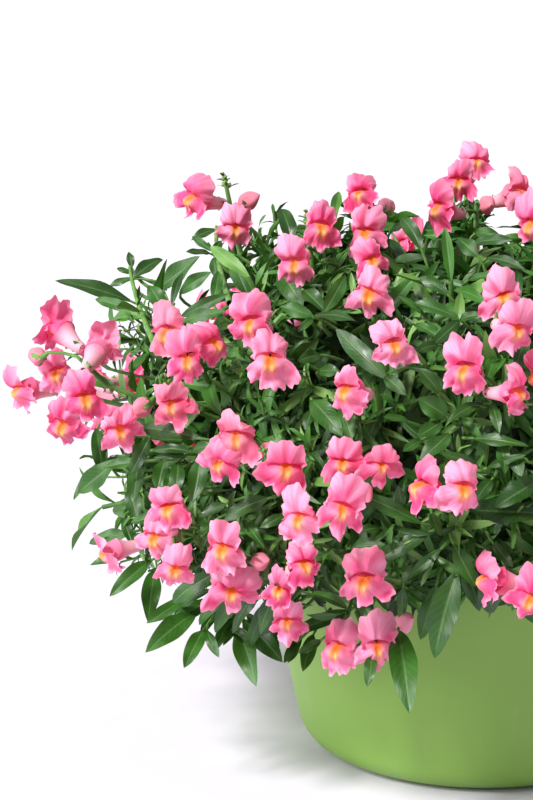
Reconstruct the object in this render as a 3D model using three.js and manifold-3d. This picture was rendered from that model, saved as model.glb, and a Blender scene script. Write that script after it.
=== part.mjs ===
// A mounded snapdragon planter: a round tapered pot of compost with eight bushy plants,
// which spread over the rim in one low mound of narrow leaves, and the pink flower
// spikes (racemes) that stand out of the mound on all sides.
// Millimetres, +Z up; the origin is the middle of the pot's flat foot.

import * as THREE from "three";
import Module from "manifold-3d";

const kernel = await Module();
kernel.setup();

// ------------------------------------------------------------------ driving dimensions

const POT = {
  height: 150,
  rimRadius: 138.5,
  footRadius: 89,
  footRounding: 21,
  floor: 5,
  sides: 40,
};
const SOIL = { top: 132, gap: 0.4, holeDepth: 16, holeSides: 6 };

// The mound of foliage is a superellipsoid round `middle`, lifted clear of the pot in front.
const MOUND = {
  wide: 235,
  deep: 215,
  up: 128,
  droop: 100,
  frontLift: 42,
  front: THREE.MathUtils.degToRad(-75),
  middle: 190,
  power: 2.8,
};

// Each plant stands in a hole in the compost and carries a slice of the dense heart of the
// mound, from which its stems grow out. Close leaf points cover the heart: its skin has rows
// of cells, by their angles above level, and each cell is drawn out to a point. The lowest row
// is the skirt, just over the pot's rim, whose points hang down. Lengths given as shares are
// shares of the way from the middle of the mound to its skin.
const PLANT = { count: 8, trunkRing: 66, trunkRadius: 5, crown: 168 };
const HEART = {
  scale: 0.6,
  base: 0.52,
  lowestRoot: 164,
  margin: 6,
  points: [0.7, 0.84],
  reach: 0.86,
  under: 158,
  slit: 1,
  lift: 9,
  hang: 20,
  skirt: [142.5, 153],
  uneven: 0.24,
  tilt: 8,
  swing: 0.02,
  columns: 6,
  topColumns: 3,
  rows: [-6, 3, 12, 22, 33],
  topRows: [45, 56, 69],
  seed: 9000,
};
const STEM = {
  radius: 2.1,
  tipRadius: 1.7,
  rootDepth: 0.6,
  seat: 0.3,
  clear: 2.6,
  room: 0.6,
  spacing: 5,
  seatRoom: 9,
  bends: [0, 0.25, -0.15, 0.5, 0.8],
};
const LEAF = { rib: 1.6, widest: 0.42, shoulder: 0.76, shoulderWidth: 0.78 };
// Where along a leaf its corners are, with the share of its width there.
const LONG_LEAF = [[LEAF.widest, 1], [LEAF.shoulder, LEAF.shoulderWidth]];
const SHORT_LEAF = [[0.5, 1]];
const STALK = {
  radius: 2.1,
  tipRadius: 1.4,
  rootDepth: 0.8,
  above: 11,
  below: 10,
  perBloom: 4,
  behind: 6,
};
const BUD_TIP = { radius: 3.3, length: 9 };
const TUBE_LENGTH = 24;

// The planter has a display side, seen from two metres away and a little above.
const DISPLAY = {
  distance: 2000,
  near: 1600,
  far: 2400,
  rise: THREE.MathUtils.degToRad(15),
  across: -129.4,
  height: 212,
  right: 152,
};
const BLOOM_REACH = 1.09;
const HUDDLE = 12;
const SNUG = 0.92;

// Racemes of the display side. A bloom is [across, rise, turn, tip, size]: its face lies
// `across` and `rise` mm from the middle of the display view, and looks `turn` degrees to the
// right of the viewer and `tip` degrees upwards. A bud is [across, rise, radius].
const SHOWN = [
  { blooms: [[-42, 120, -50, -5, 0.95], [-19, 103, 5, -15, 0.95]], buds: [[-12, 119, 5]] },
  { blooms: [[-124, 42, -140, 20, 1], [-101, 30, 160, 25, 0.95]], buds: [[-137, 26, 5]] },
  { blooms: [[-145, 6, -60, -10, 0.95], [-124, 15, -20, 0, 0.9]], buds: [] },
  { blooms: [[-109, 0, 10, -10, 1], [-121, -15, -20, -25, 0.95]], buds: [] },
  { blooms: [[-89, -18, 15, -15, 0.95]], buds: [] },
  { blooms: [[-58, 39, -25, -5, 1], [-47, 24, -5, -20, 0.9], [-34, 33, 40, -5, 0.9]], buds: [] },
  { blooms: [[-56, -3, -10, -15, 0.95]], buds: [[-74, -4, 5]] },
  { blooms: [[-8, 45, -20, -5, 1], [2, 23, 0, -12, 1]], buds: [] },
  { blooms: [[32, 102, 10, 0, 0.95], [18, 82, -15, -25, 0.95]], buds: [] },
  { blooms: [[57, 122, -20, 15, 0.85], [60, 99, -12, -8, 0.95]], buds: [[71, 115, 5]] },
  { blooms: [[63, 83, 10, -10, 0.8], [62, 63, -10, -12, 1]], buds: [] },
  { blooms: [[50, 5, -32, -5, 0.95]], buds: [] },
  { blooms: [[76, 32, 10, -5, 0.85]], buds: [] },
  { blooms: [[-17, -23, -10, -8, 1.05], [-26, -37, -28, -18, 0.95]], buds: [[1, -31, 5]] },
  { blooms: [[11, -41, 5, -8, 1.05]], buds: [] },
  { blooms: [[46, -38, -6, -8, 0.85], [66, -39, 28, -8, 0.85]], buds: [[58, -54, 4.5]] },
  { blooms: [[44, -66, 10, -8, 0.95], [21, -72, -20, -5, 0.9]], buds: [] },
  {
    blooms: [[-57, -66, -20, 0, 0.95], [-65, -83, -25, -12, 0.9], [-55, -100, 0, -25, 0.9]],
    buds: [],
  },
  { blooms: [[-25, -90, -15, -8, 1], [-21, -114, 0, -15, 1]], buds: [[-5, -97, 4.5]] },
  { blooms: [[21, -100, 22, 0, 0.85], [9, -114, -22, -8, 0.8]], buds: [] },
  { blooms: [[13, -132, -8, -15, 0.85]], buds: [] },
  { blooms: [[59, -110, -12, 0, 1]], buds: [] },
  { blooms: [[44, -150, -25, -5, 1], [67, -149, -3, -5, 0.95]], buds: [[82, -134, 5]] },
  { blooms: [[95, -54, -45, 15, 1], [117, -54, 10, -8, 0.9]], buds: [] },
  { blooms: [[120, 17, -22, -5, 1], [148, 4, 50, -10, 0.8]], buds: [] },
  { blooms: [[142, 60, 0, 10, 0.95], [148, 43, 20, -15, 0.95]], buds: [] },
  { blooms: [[125, 141, 10, 20, 0.9], [116, 130, -12, -5, 0.95]], buds: [] },
  { blooms: [[105, 114, -40, -5, 0.9], [150, 123, 40, 0, 0.95]], buds: [[132, 117, 5]] },
  { blooms: [[-93, -91, -70, -20, 0.85]], buds: [] },
];

// Racemes of the far side and of the right follow a rule over the mound. Each has as many
// blooms as find room: `blooms` lists how many are tried, in turn. The first sits `below` the
// tip, the others lower by one `level` each and turned on round the stalk.
const FAR = {
  lattice: 33,
  lowest: -0.42,
  reach: [0.92, 0.97],
  length: 42,
  apart: 48,
  blooms: [4, 4, 4, 4, 4, 4, 3, 3],
  below: 12,
  level: 8,
  turn: THREE.MathUtils.degToRad(44),
  fan: THREE.MathUtils.degToRad(88),
  seed: 700,
};

// Leafy shoots without flowers follow a rule too.
const SHOOTS = { lattice: 54, lowest: -0.45, reach: 1, apart: 27, seed: 3000 };
const RACEME_LEAVES = { count: 3, long: 2, from: 0.66, to: 0.95, seed: 2000 };
const SHOOT_LEAVES = { count: 5, long: 1, from: 0.66, to: 0.99 };
const TRIES = 8;
const GOLDEN_ANGLE = THREE.MathUtils.degToRad(137.5);
const SMALLEST = 0.1;

const COLOUR = { pot: 0x99ba6f, soil: 0x3a2a1e, leaf: 0x3f7346, bloom: 0xf982b4 };

// ------------------------------------------------------------------ small helpers

const UP = new THREE.Vector3(0, 0, 1);
const HUB = new THREE.Vector3(0, 0, MOUND.middle);

function vec(x, y, z) {
  return new THREE.Vector3(x, y, z);
}

/** start + each pair of (direction, amount). */
function moved(start, ...steps) {
  const out = start.clone();
  for (let i = 0; i < steps.length; i += 2) {
    out.addScaledVector(steps[i], steps[i + 1]);
  }
  return out;
}

/** The part of `v` square to the unit vector `axis`, as a unit vector. */
function squared(v, axis) {
  return moved(v, axis, -v.dot(axis)).normalize();
}

function mix(low, high, share) {
  return low + (high - low) * share;
}

/** A repeatable stream of numbers from 0 to 1 (mulberry32). */
function draws(seed) {
  let state = seed >>> 0;
  return () => {
    state = (state + 0x6d2b79f5) >>> 0;
    let t = state;
    t = Math.imul(t ^ (t >>> 15), t | 1);
    t ^= t + Math.imul(t ^ (t >>> 7), t | 61);
    return ((t ^ (t >>> 14)) >>> 0) / 4294967296;
  };
}

/** A closed solid from its corner points and its outward, anticlockwise triangles. */
function solid(points, faces) {
  const mesh = new kernel.Mesh({
    numProp: 3,
    vertProperties: new Float32Array(points.flatMap((p) => [p.x, p.y, p.z])),
    triVerts: new Uint32Array(faces.flat()),
  });
  return new kernel.Manifold(mesh);
}

/** All the solids joined, in pairs, then pairs of pairs, without slivers at the joints. */
function joined(solids) {
  let round = solids;
  while (round.length > 1) {
    const next = [];
    for (let i = 0; i < round.length; i += 2) {
      next.push(i + 1 < round.length ? round[i].add(round[i + 1]) : round[i]);
    }
    round = next;
  }
  return round[0].asOriginal().simplify(SMALLEST);
}

function named(name, body, colour, roughness) {
  const { vertProperties, triVerts } = body.getMesh();
  const geometry = new THREE.BufferGeometry();
  geometry.setAttribute("position", new THREE.BufferAttribute(vertProperties, 3));
  geometry.setIndex(new THREE.BufferAttribute(triVerts, 1));
  geometry.computeVertexNormals();
  const material = new THREE.MeshStandardMaterial({ color: colour, roughness, metalness: 0 });
  const mesh = new THREE.Mesh(geometry, material);
  mesh.name = name;
  return mesh;
}

/** A solid turned about Z: the profile of [r, z] runs from the axis, outwards, to the axis. */
function turned(profile, sides) {
  const points = [vec(0, 0, profile[0][1]), vec(0, 0, profile[profile.length - 1][1])];
  const rings = profile.slice(1, -1);
  for (const [r, z] of rings) {
    for (let j = 0; j < sides; j += 1) {
      const angle = (2 * Math.PI * j) / sides;
      points.push(vec(r * Math.cos(angle), r * Math.sin(angle), z));
    }
  }
  const at = (row, j) => 2 + row * sides + (j % sides);
  const faces = [];
  for (let j = 0; j < sides; j += 1) {
    faces.push([0, at(0, j + 1), at(0, j)]);
    for (let row = 0; row + 1 < rings.length; row += 1) {
      faces.push([at(row, j), at(row, j + 1), at(row + 1, j + 1)]);
      faces.push([at(row, j), at(row + 1, j + 1), at(row + 1, j)]);
    }
    faces.push([1, at(rings.length - 1, j), at(rings.length - 1, j + 1)]);
  }
  return solid(points, faces);
}

/**
 * A rod of `sides` flats through the points of a path, flat-ended unless a radius is 0. Its
 * far end is square to `ending`, or to its last stretch.
 */
function rod(path, radii, sides, ending = null) {
  const points = [];
  const faces = [];
  const last = path.length - 1;
  const whole = moved(path[last], path[0], -1).normalize();
  const hint = Math.abs(whole.z) > 0.8 ? vec(1, 0, 0) : UP;
  path.forEach((p, i) => {
    const ahead = path[Math.min(i + 1, last)];
    const behind = path[Math.max(i - 1, 0)];
    const chord = moved(ahead, behind, -1).normalize();
    const along = i === last && ending ? ending : chord;
    const u = squared(hint, along);
    const v = along.clone().cross(u);
    if (radii[i] === 0) {
      points.push(p.clone());
      return;
    }
    for (let j = 0; j < sides; j += 1) {
      const angle = (2 * Math.PI * j) / sides;
      points.push(moved(p, u, radii[i] * Math.cos(angle), v, radii[i] * Math.sin(angle)));
    }
  });
  const at = (row, j) => row * sides + (j % sides);
  for (let j = 2; j < sides; j += 1) {
    faces.push([at(0, 0), at(0, j), at(0, j - 1)]);
  }
  for (let row = 0; row < last; row += 1) {
    for (let j = 0; j < sides; j += 1) {
      if (radii[row + 1] === 0) {
        faces.push([at(row, j), at(row, j + 1), at(row + 1, 0)]);
      } else {
        faces.push([at(row, j), at(row, j + 1), at(row + 1, j + 1)]);
        faces.push([at(row, j), at(row + 1, j + 1), at(row + 1, j)]);
      }
    }
  }
  if (radii[last] !== 0) {
    for (let j = 2; j < sides; j += 1) {
      faces.push([at(last, 0), at(last, j - 1), at(last, j)]);
    }
  }
  return solid(points, faces);
}

// ------------------------------------------------------------------ pot and compost

/** The wall leans out from where the foot's rounding runs into it, at this angle. */
function wallLean() {
  const run = POT.rimRadius - POT.footRadius;
  const height = POT.height - POT.footRounding;
  const reach = Math.hypot(run, height);
  return Math.atan2(run, height) - Math.asin(POT.footRounding / reach);
}

/** Outline of the pot's outside, or of its inside with `inset`, as [r, z] from foot to rim. */
function potOutline(inset, steps) {
  const lean = wallLean();
  const radius = POT.footRounding - inset;
  const outline = [];
  for (let i = 0; i <= steps; i += 1) {
    const angle = mix(-Math.PI / 2, -lean, i / steps);
    outline.push([
      POT.footRadius + radius * Math.cos(angle),
      POT.footRounding + radius * Math.sin(angle),
    ]);
  }
  return outline;
}

function wallRadius(z, inset) {
  const lean = wallLean();
  const foot = potOutline(inset, 1)[1];
  return foot[0] + (z - foot[1]) * Math.tan(lean);
}

function makePot() {
  const outside = [[0, 0], ...potOutline(0, 3), [wallRadius(POT.height, 0), POT.height]];
  const inside = [[0, POT.floor], ...potOutline(POT.floor, 2)];
  inside.push([wallRadius(POT.height, POT.floor), POT.height]);
  return turned([...outside, ...inside.reverse()], POT.sides);
}

/** Where each plant's trunk stands in the compost. */
function plantDirection(plant) {
  const angle = (2 * Math.PI * (plant + 0.5)) / PLANT.count;
  return vec(Math.cos(angle), Math.sin(angle), 0);
}

function trunkPoint(plant, z) {
  return moved(vec(0, 0, z), plantDirection(plant), PLANT.trunkRing);
}

function makeSoil() {
  const inset = POT.floor + SOIL.gap;
  const outline = [[0, inset], ...potOutline(inset, 2)];
  outline.push([wallRadius(SOIL.top, inset), SOIL.top], [0, SOIL.top]);
  let soil = turned(outline, POT.sides);
  for (let plant = 0; plant < PLANT.count; plant += 1) {
    const hole = [trunkPoint(plant, SOIL.top - SOIL.holeDepth), trunkPoint(plant, SOIL.top + 5)];
    const radius = PLANT.trunkRadius + 2 * SOIL.gap;
    soil = soil.subtract(rod(hole, [radius, radius], SOIL.holeSides));
  }
  return soil;
}

// ------------------------------------------------------------------ the mound

function droopAt(x, y) {
  const facing = Math.max(0, Math.cos(Math.atan2(y, x) - MOUND.front));
  return MOUND.droop - MOUND.frontLift * facing * facing;
}

/** How far out a point lies: 1 on the mound's surface, less inside it. */
function swell(p) {
  const plan = Math.hypot(p.x / MOUND.wide, p.y / MOUND.deep);
  const above = p.z - MOUND.middle;
  const reach = above > 0 ? MOUND.up : droopAt(p.x, p.y);
  const sum = plan ** MOUND.power + Math.abs(above / reach) ** MOUND.power;
  return sum ** (1 / MOUND.power);
}

/** The way off the mound's surface at a point. */
function outward(p) {
  const step = 2;
  const slope = (axis) => swell(moved(p, axis, step)) - swell(moved(p, axis, -step));
  return vec(slope(vec(1, 0, 0)), slope(vec(0, 1, 0)), slope(UP)).normalize();
}

/** The way a flower spike or a shoot grows there: off the mound and up. */
function growth(p) {
  return moved(outward(p), UP, 0.55).normalize();
}

/** Directions spread evenly from `lowest` (a sine) up to the crown. */
function lattice(count, lowest) {
  const out = [];
  for (let i = 0; i < count; i += 1) {
    const z = mix(lowest, 1, (i + 0.5) / count);
    const r = Math.sqrt(1 - z * z);
    const angle = i * GOLDEN_ANGLE;
    out.push(vec(r * Math.cos(angle), r * Math.sin(angle), z));
  }
  return out;
}

/** The point of the mound, `scale` times as large, in a direction from its middle. */
function onMound(direction, scale) {
  const wide = vec(direction.x * MOUND.wide, direction.y * MOUND.deep, direction.z * MOUND.up);
  if (direction.z < 0) {
    wide.z = direction.z * droopAt(wide.x, wide.y);
  }
  const point = moved(HUB, wide, 1);
  return moved(HUB, wide, scale / swell(point));
}

// ------------------------------------------------------------------ the display view

const SIGHT = (() => {
  const { distance, rise, across, height } = DISPLAY;
  const back = vec(0, -Math.cos(rise), Math.sin(rise));
  const eye = moved(vec(across, 0, height), back, distance);
  return { eye, back, right: vec(1, 0, 0), up: vec(0, Math.sin(rise), Math.cos(rise)) };
})();

/** The ray from the viewer through a place in the display view. */
function sightLine(across, rise) {
  const { back, right, up } = SIGHT;
  return moved(vec(0, 0, 0), back, -DISPLAY.distance, right, across, up, rise).normalize();
}

/** How far along a sight line the mound scaled by `scale` is met, or passed most closely. */
function sightDistance(across, rise, scale) {
  const ray = sightLine(across, rise);
  const step = 6;
  const valueAt = (distance) => swell(moved(SIGHT.eye, ray, distance));
  let nearest = { distance: 0, value: Infinity };
  for (let distance = DISPLAY.near; distance < DISPLAY.far; distance += step) {
    const value = valueAt(distance);
    if (value <= scale) {
      let low = distance - step;
      let high = distance;
      for (let i = 0; i < 16; i += 1) {
        const half = (low + high) / 2;
        if (valueAt(half) > scale) {
          low = half;
        } else {
          high = half;
        }
      }
      return high;
    }
    if (value < nearest.value) {
      nearest = { distance, value };
    }
  }
  return nearest.distance;
}

/** Where a point lies in the display view. */
function displayed(p) {
  const offset = moved(p, SIGHT.eye, -1);
  const depth = -offset.dot(SIGHT.back);
  const scale = DISPLAY.distance / depth;
  return { across: offset.dot(SIGHT.right) * scale, rise: offset.dot(SIGHT.up) * scale };
}

// ------------------------------------------------------------------ clearance by spheres

const obstacles = [];

function addObstacles(balls, owner) {
  for (const ball of balls) {
    obstacles.push({ ...ball, owner });
  }
}

/** Whether a point lies in a plant's slice of the mound, by at least `margin`. */
function inSlice(p, plant, margin) {
  const half = Math.PI / PLANT.count;
  const middle = plantDirection(plant);
  const sideways = Math.abs(middle.x * p.y - middle.y * p.x);
  return p.dot(middle) * Math.sin(half) - sideways * Math.cos(half) > margin;
}

/**
 * True when the balls keep clear of every obstacle that belongs to another owner, of the pot,
 * and of the hearts of all plants but their own.
 */
function isClear(balls, owner, plant = null) {
  for (const ball of balls) {
    const deep = swell(ball.at) < HEART.reach + (ball.radius + 1) / MOUND.wide;
    if (deep && (plant === null || !inSlice(ball.at, plant, ball.radius + 1))) {
      return false;
    }
    for (const other of obstacles) {
      if (other.owner === owner) {
        continue;
      }
      const reach = ball.radius + other.radius;
      if (ball.at.distanceToSquared(other.at) < reach * reach) {
        return false;
      }
    }
    const room = ball.radius + STEM.clear;
    const { x, y, z } = ball.at;
    if (z < POT.height + room && Math.hypot(x, y) < wallRadius(Math.min(z, POT.height), 0) + room) {
      return false;
    }
  }
  return true;
}

function ballsAlong(path, radius, spacing) {
  const balls = [];
  for (let i = 0; i + 1 < path.length; i += 1) {
    const length = path[i].distanceTo(path[i + 1]);
    const count = Math.ceil(length / spacing);
    for (let k = 0; k < count; k += 1) {
      balls.push({ at: path[i].clone().lerp(path[i + 1], (k + 0.5) / count), radius });
    }
  }
  return balls;
}

// ------------------------------------------------------------------ blooms

// A bloom faces +X with its hood up +Z; its face is at the origin. Corner points in
// [forward, aside, up] mm for one side: the rim of the petals from the notch in the hood,
// round the side lobes, to the tip of the lower lip; then the mouth of the tube behind them
// and the throat before them; then the swollen palate.
const RIM = [
  [1, 0, 16],
  [-1, 8, 17.5],
  [-3, 13.5, 11],
  [0, 8.5, 1.5],
  [2, 13.5, -6.5],
  [4, 6, -12.5],
  [2.5, 0, -15.5],
];
const MOUTH = [
  [-6, 0, 7.5],
  [-5, 7, 0],
  [-3.5, 0, -7],
];
const THROAT = [
  [-1.5, 0, 6],
  [1, 6.5, 1.5],
  [6, 0, -7],
];
const PALATE = [9, 0, 0];

// What a bloom of size 1 takes up: [forward, aside, up, radius].
const BLOOM_BALLS = [
  [-19, 0, -3, 5],
  [-11, 0, -1, 6.5],
  [-4, 0, 0, 8],
  [0, 0, 11, 7],
  [-1, 8, 12, 6.5],
  [-1, -8, 12, 6.5],
  [2, 9, -4, 6],
  [2, -9, -4, 6],
  [3, 0, -10, 7],
  [5, 0, -2, 5.5],
];

/** Both halves of a mirrored ring, in order round it. */
function ring(half) {
  const mirrored = half.slice(1, -1).reverse();
  return [...half, ...mirrored.map(([x, y, z]) => [x, -y, z])];
}

function bloomPoint(bloom, [forward, aside, up]) {
  const { face, facing, left, lift, size } = bloom;
  return moved(face, facing, forward * size, left, aside * size, lift, up * size);
}

/** Strip of triangles between a ring of four corners and the rim's twelve. */
function petals(inner, rim) {
  const faces = [];
  for (let i = 0; i < 4; i += 1) {
    const a = inner + i;
    const b = inner + ((i + 1) % 4);
    const [p, q, r, t] = [0, 1, 2, 3].map((k) => rim + ((3 * i + k) % 12));
    faces.push([a, p, q], [b, r, t]);
    faces.push(...(i % 2 === 0 ? [[a, q, r], [a, r, b]] : [[a, q, b], [b, q, r]]));
  }
  return faces;
}

function makeBloom(bloom) {
  const rings = [ring(MOUTH), ring(RIM), ring(THROAT)];
  const [mouth, rim, throat, palate] = [1, 5, 17, 21];
  const corners = [...rings.flat(), PALATE].map((corner) => bloomPoint(bloom, corner));
  const faces = [...petals(mouth, rim)];
  faces.push(...petals(throat, rim).map(([a, b, c]) => [a, c, b]));
  for (let i = 0; i < 4; i += 1) {
    const next = (i + 1) % 4;
    faces.push([0, mouth + i, mouth + next], [palate, throat + next, throat + i]);
  }
  return solid([bloom.root, ...corners], faces);
}

function makeBud(bud) {
  const along = moved(bud.at, bud.root, -1).normalize();
  const radius = bud.radius;
  const path = [bud.root, bud.at, moved(bud.at, along, 1.6 * radius)];
  return rod(path, [0.8, radius, 0], 4);
}

function bloomBalls(bloom) {
  return BLOOM_BALLS.map(([forward, aside, up, radius]) => ({
    at: bloomPoint(bloom, [forward, aside, up]),
    radius: radius * bloom.size,
  }));
}

/** A bloom's own axes from where it faces. */
function bloomAt(face, facing, size) {
  const left = UP.clone().cross(facing).normalize();
  const lift = facing.clone().cross(left);
  const foot = moved(face, facing, -TUBE_LENGTH * size, lift, -3 * size);
  return { face, facing, left, lift, size, foot };
}

// ------------------------------------------------------------------ racemes

/** Sets the stalk through the feet of the blooms, and joins each bloom and bud to it. */
function racemeOf(blooms, buds) {
  const middle = vec(0, 0, 0);
  const facing = vec(0, 0, 0);
  for (const bloom of blooms) {
    middle.addScaledVector(bloom.foot, 1 / blooms.length);
    facing.addScaledVector(bloom.facing, 1 / blooms.length);
  }
  middle.addScaledVector(facing, -STALK.behind);
  const along = growth(middle);
  const span = Math.max(...blooms.map((bloom) => bloom.foot.clone().sub(middle).dot(along)), 0);
  const sag = Math.min(...blooms.map((bloom) => bloom.foot.clone().sub(middle).dot(along)), 0);
  const tip = moved(middle, along, span + STALK.above);
  const base = moved(middle, along, sag - STALK.below - STALK.perBloom * blooms.length);
  const length = base.distanceTo(tip);
  const nearest = (p) => {
    const place = p.clone().sub(base).dot(along) - 3;
    return moved(base, along, THREE.MathUtils.clamp(place, 5, length - 4));
  };
  for (const bloom of blooms) {
    bloom.stalkPoint = nearest(bloom.foot);
    const inward = moved(bloom.stalkPoint, bloom.foot, -1).normalize();
    bloom.root = moved(bloom.stalkPoint, inward, STALK.rootDepth);
  }
  for (const bud of buds) {
    bud.stalkPoint = nearest(bud.at);
    bud.root = bud.stalkPoint;
  }
  const balls = ballsAlong([base, tip], STALK.radius + 1, 5);
  balls.push({ at: moved(tip, along, 4), radius: BUD_TIP.radius + 2 });
  for (const bloom of blooms) {
    balls.push(...bloomBalls(bloom));
    balls.push(...ballsAlong([bloom.stalkPoint, bloom.foot], 3, 5));
  }
  for (const bud of buds) {
    balls.push({ at: bud.at, radius: bud.radius * 1.3 });
    balls.push(...ballsAlong([bud.stalkPoint, bud.at], 3, 5));
  }
  return { blooms, buds, along, base, tip, balls };
}

/** A raceme of the display side, `nearer` mm closer to the viewer than the mound's skin. */
function shownRaceme(row, nearer) {
  const { back, right, up } = SIGHT;
  const mean = (k) => row.blooms.reduce((sum, bloom) => sum + bloom[k], 0) / row.blooms.length;
  const middle = sightDistance(mean(0), mean(1), BLOOM_REACH) - nearer;
  const placed = (across, rise, deeper) => {
    const own = sightDistance(across, rise, BLOOM_REACH) - nearer;
    const distance = THREE.MathUtils.clamp(own, middle - HUDDLE, middle + HUDDLE) + deeper;
    return moved(SIGHT.eye, sightLine(across, rise), distance);
  };
  const taken = [];
  const settle = (choices, ballsOf) => {
    const apart = (choice) => ballsOf(choice).every((ball) => taken.every(
      (other) => ball.at.distanceTo(other.at) > SNUG * (ball.radius + other.radius),
    ));
    const choice = choices.find(apart) ?? choices[0];
    taken.push(...ballsOf(choice));
    return choice;
  };
  const depths = [0, 8, -8, 15, -15];
  const blooms = row.blooms.map(([across, rise, turn, tip, size]) => {
    const sideways = THREE.MathUtils.degToRad(turn);
    const upwards = THREE.MathUtils.degToRad(tip);
    const facing = moved(
      vec(0, 0, 0),
      right, Math.sin(sideways) * Math.cos(upwards),
      back, Math.cos(sideways) * Math.cos(upwards),
      up, Math.sin(upwards),
    );
    const choices = depths.map((deeper) => bloomAt(placed(across, rise, deeper), facing, size));
    return settle(choices, bloomBalls);
  });
  const buds = row.buds.map(([across, rise, radius]) => {
    const choices = depths.map((deeper) => ({ at: placed(across, rise, deeper + 8), radius }));
    return settle(choices, (bud) => [{ at: bud.at, radius: 1.4 * radius }]);
  });
  return racemeOf(blooms, buds);
}

/** A raceme with `count` blooms turned apart, whose spike ends near `tip`. */
function ruledRaceme(tip, count, random) {
  const along = growth(tip);
  const radial = squared(vec(tip.x, tip.y, 0.001), UP);
  const across = UP.clone().cross(radial);
  const middle = mix(-0.5, 0.5, random());
  const step = (random() < 0.5 ? -1 : 1) * (FAR.turn + FAR.fan / count);
  const blooms = Array.from({ length: count }, (_, i) => {
    const angle = middle + step * (i - (count - 1) / 2) * mix(0.93, 1.07, random());
    const facing = moved(
      vec(0, 0, mix(-0.3, 0.05, random())),
      radial, Math.cos(angle),
      across, Math.sin(angle),
    ).normalize();
    const size = mix(0.85, 1.02, random());
    const foot = moved(tip, along, -FAR.below - FAR.level * i);
    return bloomAt(moved(foot, facing, (TUBE_LENGTH + STALK.behind) * size), facing, size);
  });
  return racemeOf(blooms, []);
}

const racemes = [];
SHOWN.forEach((row) => {
  const depths = [0, -8, 8, -16, 16, -24, 24, 32, -32, 40];
  const owner = `raceme ${racemes.length}`;
  const choices = depths.map((nearer) => shownRaceme(row, nearer));
  const raceme = choices.find((choice) => isClear(choice.balls, owner)) ?? choices[0];
  raceme.owner = owner;
  addObstacles(raceme.balls, owner);
  racemes.push(raceme);
});

lattice(FAR.lattice, FAR.lowest).forEach((direction, i) => {
  const random = draws(FAR.seed + i);
  const foot = onMound(direction, mix(FAR.reach[0], FAR.reach[1], random()));
  const tip = moved(foot, growth(foot), FAR.length);
  const { across } = displayed(tip);
  const faced = outward(tip).dot(SIGHT.back) > -0.12;
  const near = racemes.some((raceme) => raceme.tip.distanceTo(tip) < FAR.apart);
  if (near || (faced && across < DISPLAY.right)) {
    return;
  }
  const owner = `raceme ${racemes.length}`;
  for (const count of FAR.blooms) {
    const raceme = ruledRaceme(tip, count, random);
    if (isClear(raceme.balls, owner)) {
      raceme.owner = owner;
      addObstacles(raceme.balls, owner);
      racemes.push(raceme);
      return;
    }
  }
});

function makeRaceme({ blooms, buds, along, base, tip }) {
  const path = [
    moved(base, along, STEM.seat / 2),
    moved(tip, along, -2),
    moved(tip, along, 2),
    moved(tip, along, BUD_TIP.length),
  ];
  const stalk = rod(path, [STALK.radius, STALK.tipRadius, BUD_TIP.radius, 0], 3);
  return joined([stalk, ...buds.map(makeBud), ...blooms.map(makeBloom)]);
}

// ------------------------------------------------------------------ stems and leaves

function plantOf(p) {
  const share = Math.atan2(p.y, p.x) / (2 * Math.PI);
  return Math.floor((share - Math.floor(share)) * PLANT.count);
}

/** The same point moved out along its plant's middle until it is well inside its slice. */
function insideSlice(p, plant, margin) {
  const half = Math.PI / PLANT.count;
  const middle = plantDirection(plant);
  const aside = vec(-middle.y, middle.x, 0);
  const sideways = p.dot(aside);
  const needed = (margin + Math.abs(sideways) * Math.cos(half)) / Math.sin(half);
  const along = Math.max(p.dot(middle), needed);
  return moved(vec(0, 0, p.z), middle, along, aside, sideways);
}

/** A stem's bent path from inside the heart to its tip, which it reaches along `along`. */
function stemPath(tip, along, plant, bend) {
  const inner = moved(HUB, moved(tip, HUB, -1), HEART.base / swell(tip));
  inner.z = Math.max(inner.z, HEART.lowestRoot);
  const root = insideSlice(inner, plant, HEART.margin);
  const length = root.distanceTo(tip);
  const radial = squared(vec(tip.x, tip.y, 0.001), UP);
  const first = moved(root, radial, 0.35 * length, UP, (0.1 + bend) * length);
  const second = moved(tip, along, -0.35 * length);
  const curve = new THREE.CubicBezierCurve3(root, first, second, tip);
  return [root, insideSlice(curve.getPoint(0.5), plant, HEART.margin), tip];
}

/** The point at a share of the path's length, and the way the path runs there. */
function placeOn(path, share) {
  const lengths = path.slice(1).map((p, i) => p.distanceTo(path[i]));
  let rest = share * lengths.reduce((sum, length) => sum + length, 0);
  let i = 0;
  while (i < lengths.length - 1 && rest > lengths[i]) {
    rest -= lengths[i];
    i += 1;
  }
  const along = moved(path[i + 1], path[i], -1).normalize();
  return { at: moved(path[i], along, rest), along };
}

/** The leaf's rib at a share of its length, with the way off its upper face there. */
function ribAt(leaf, share) {
  const { root, along, over, length, curl } = leaf;
  const bend = curl * share;
  const forward = (length * Math.sin(bend)) / curl;
  const down = (length * (1 - Math.cos(bend))) / curl;
  return {
    at: moved(root, along, forward, over, -down),
    over: moved(vec(0, 0, 0), over, Math.cos(bend), along, Math.sin(bend)),
  };
}

function leafBalls(leaf) {
  const shares = [0.2, 0.34, 0.48, 0.62, 0.76, 0.9, 1];
  const widths = [0.5, 0.92, 1, 0.95, 0.78, 0.4, 0.1];
  return shares.map((share, i) => ({
    at: ribAt(leaf, share).at,
    radius: 0.5 * leaf.width * widths[i] + 0.9,
  }));
}

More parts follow.
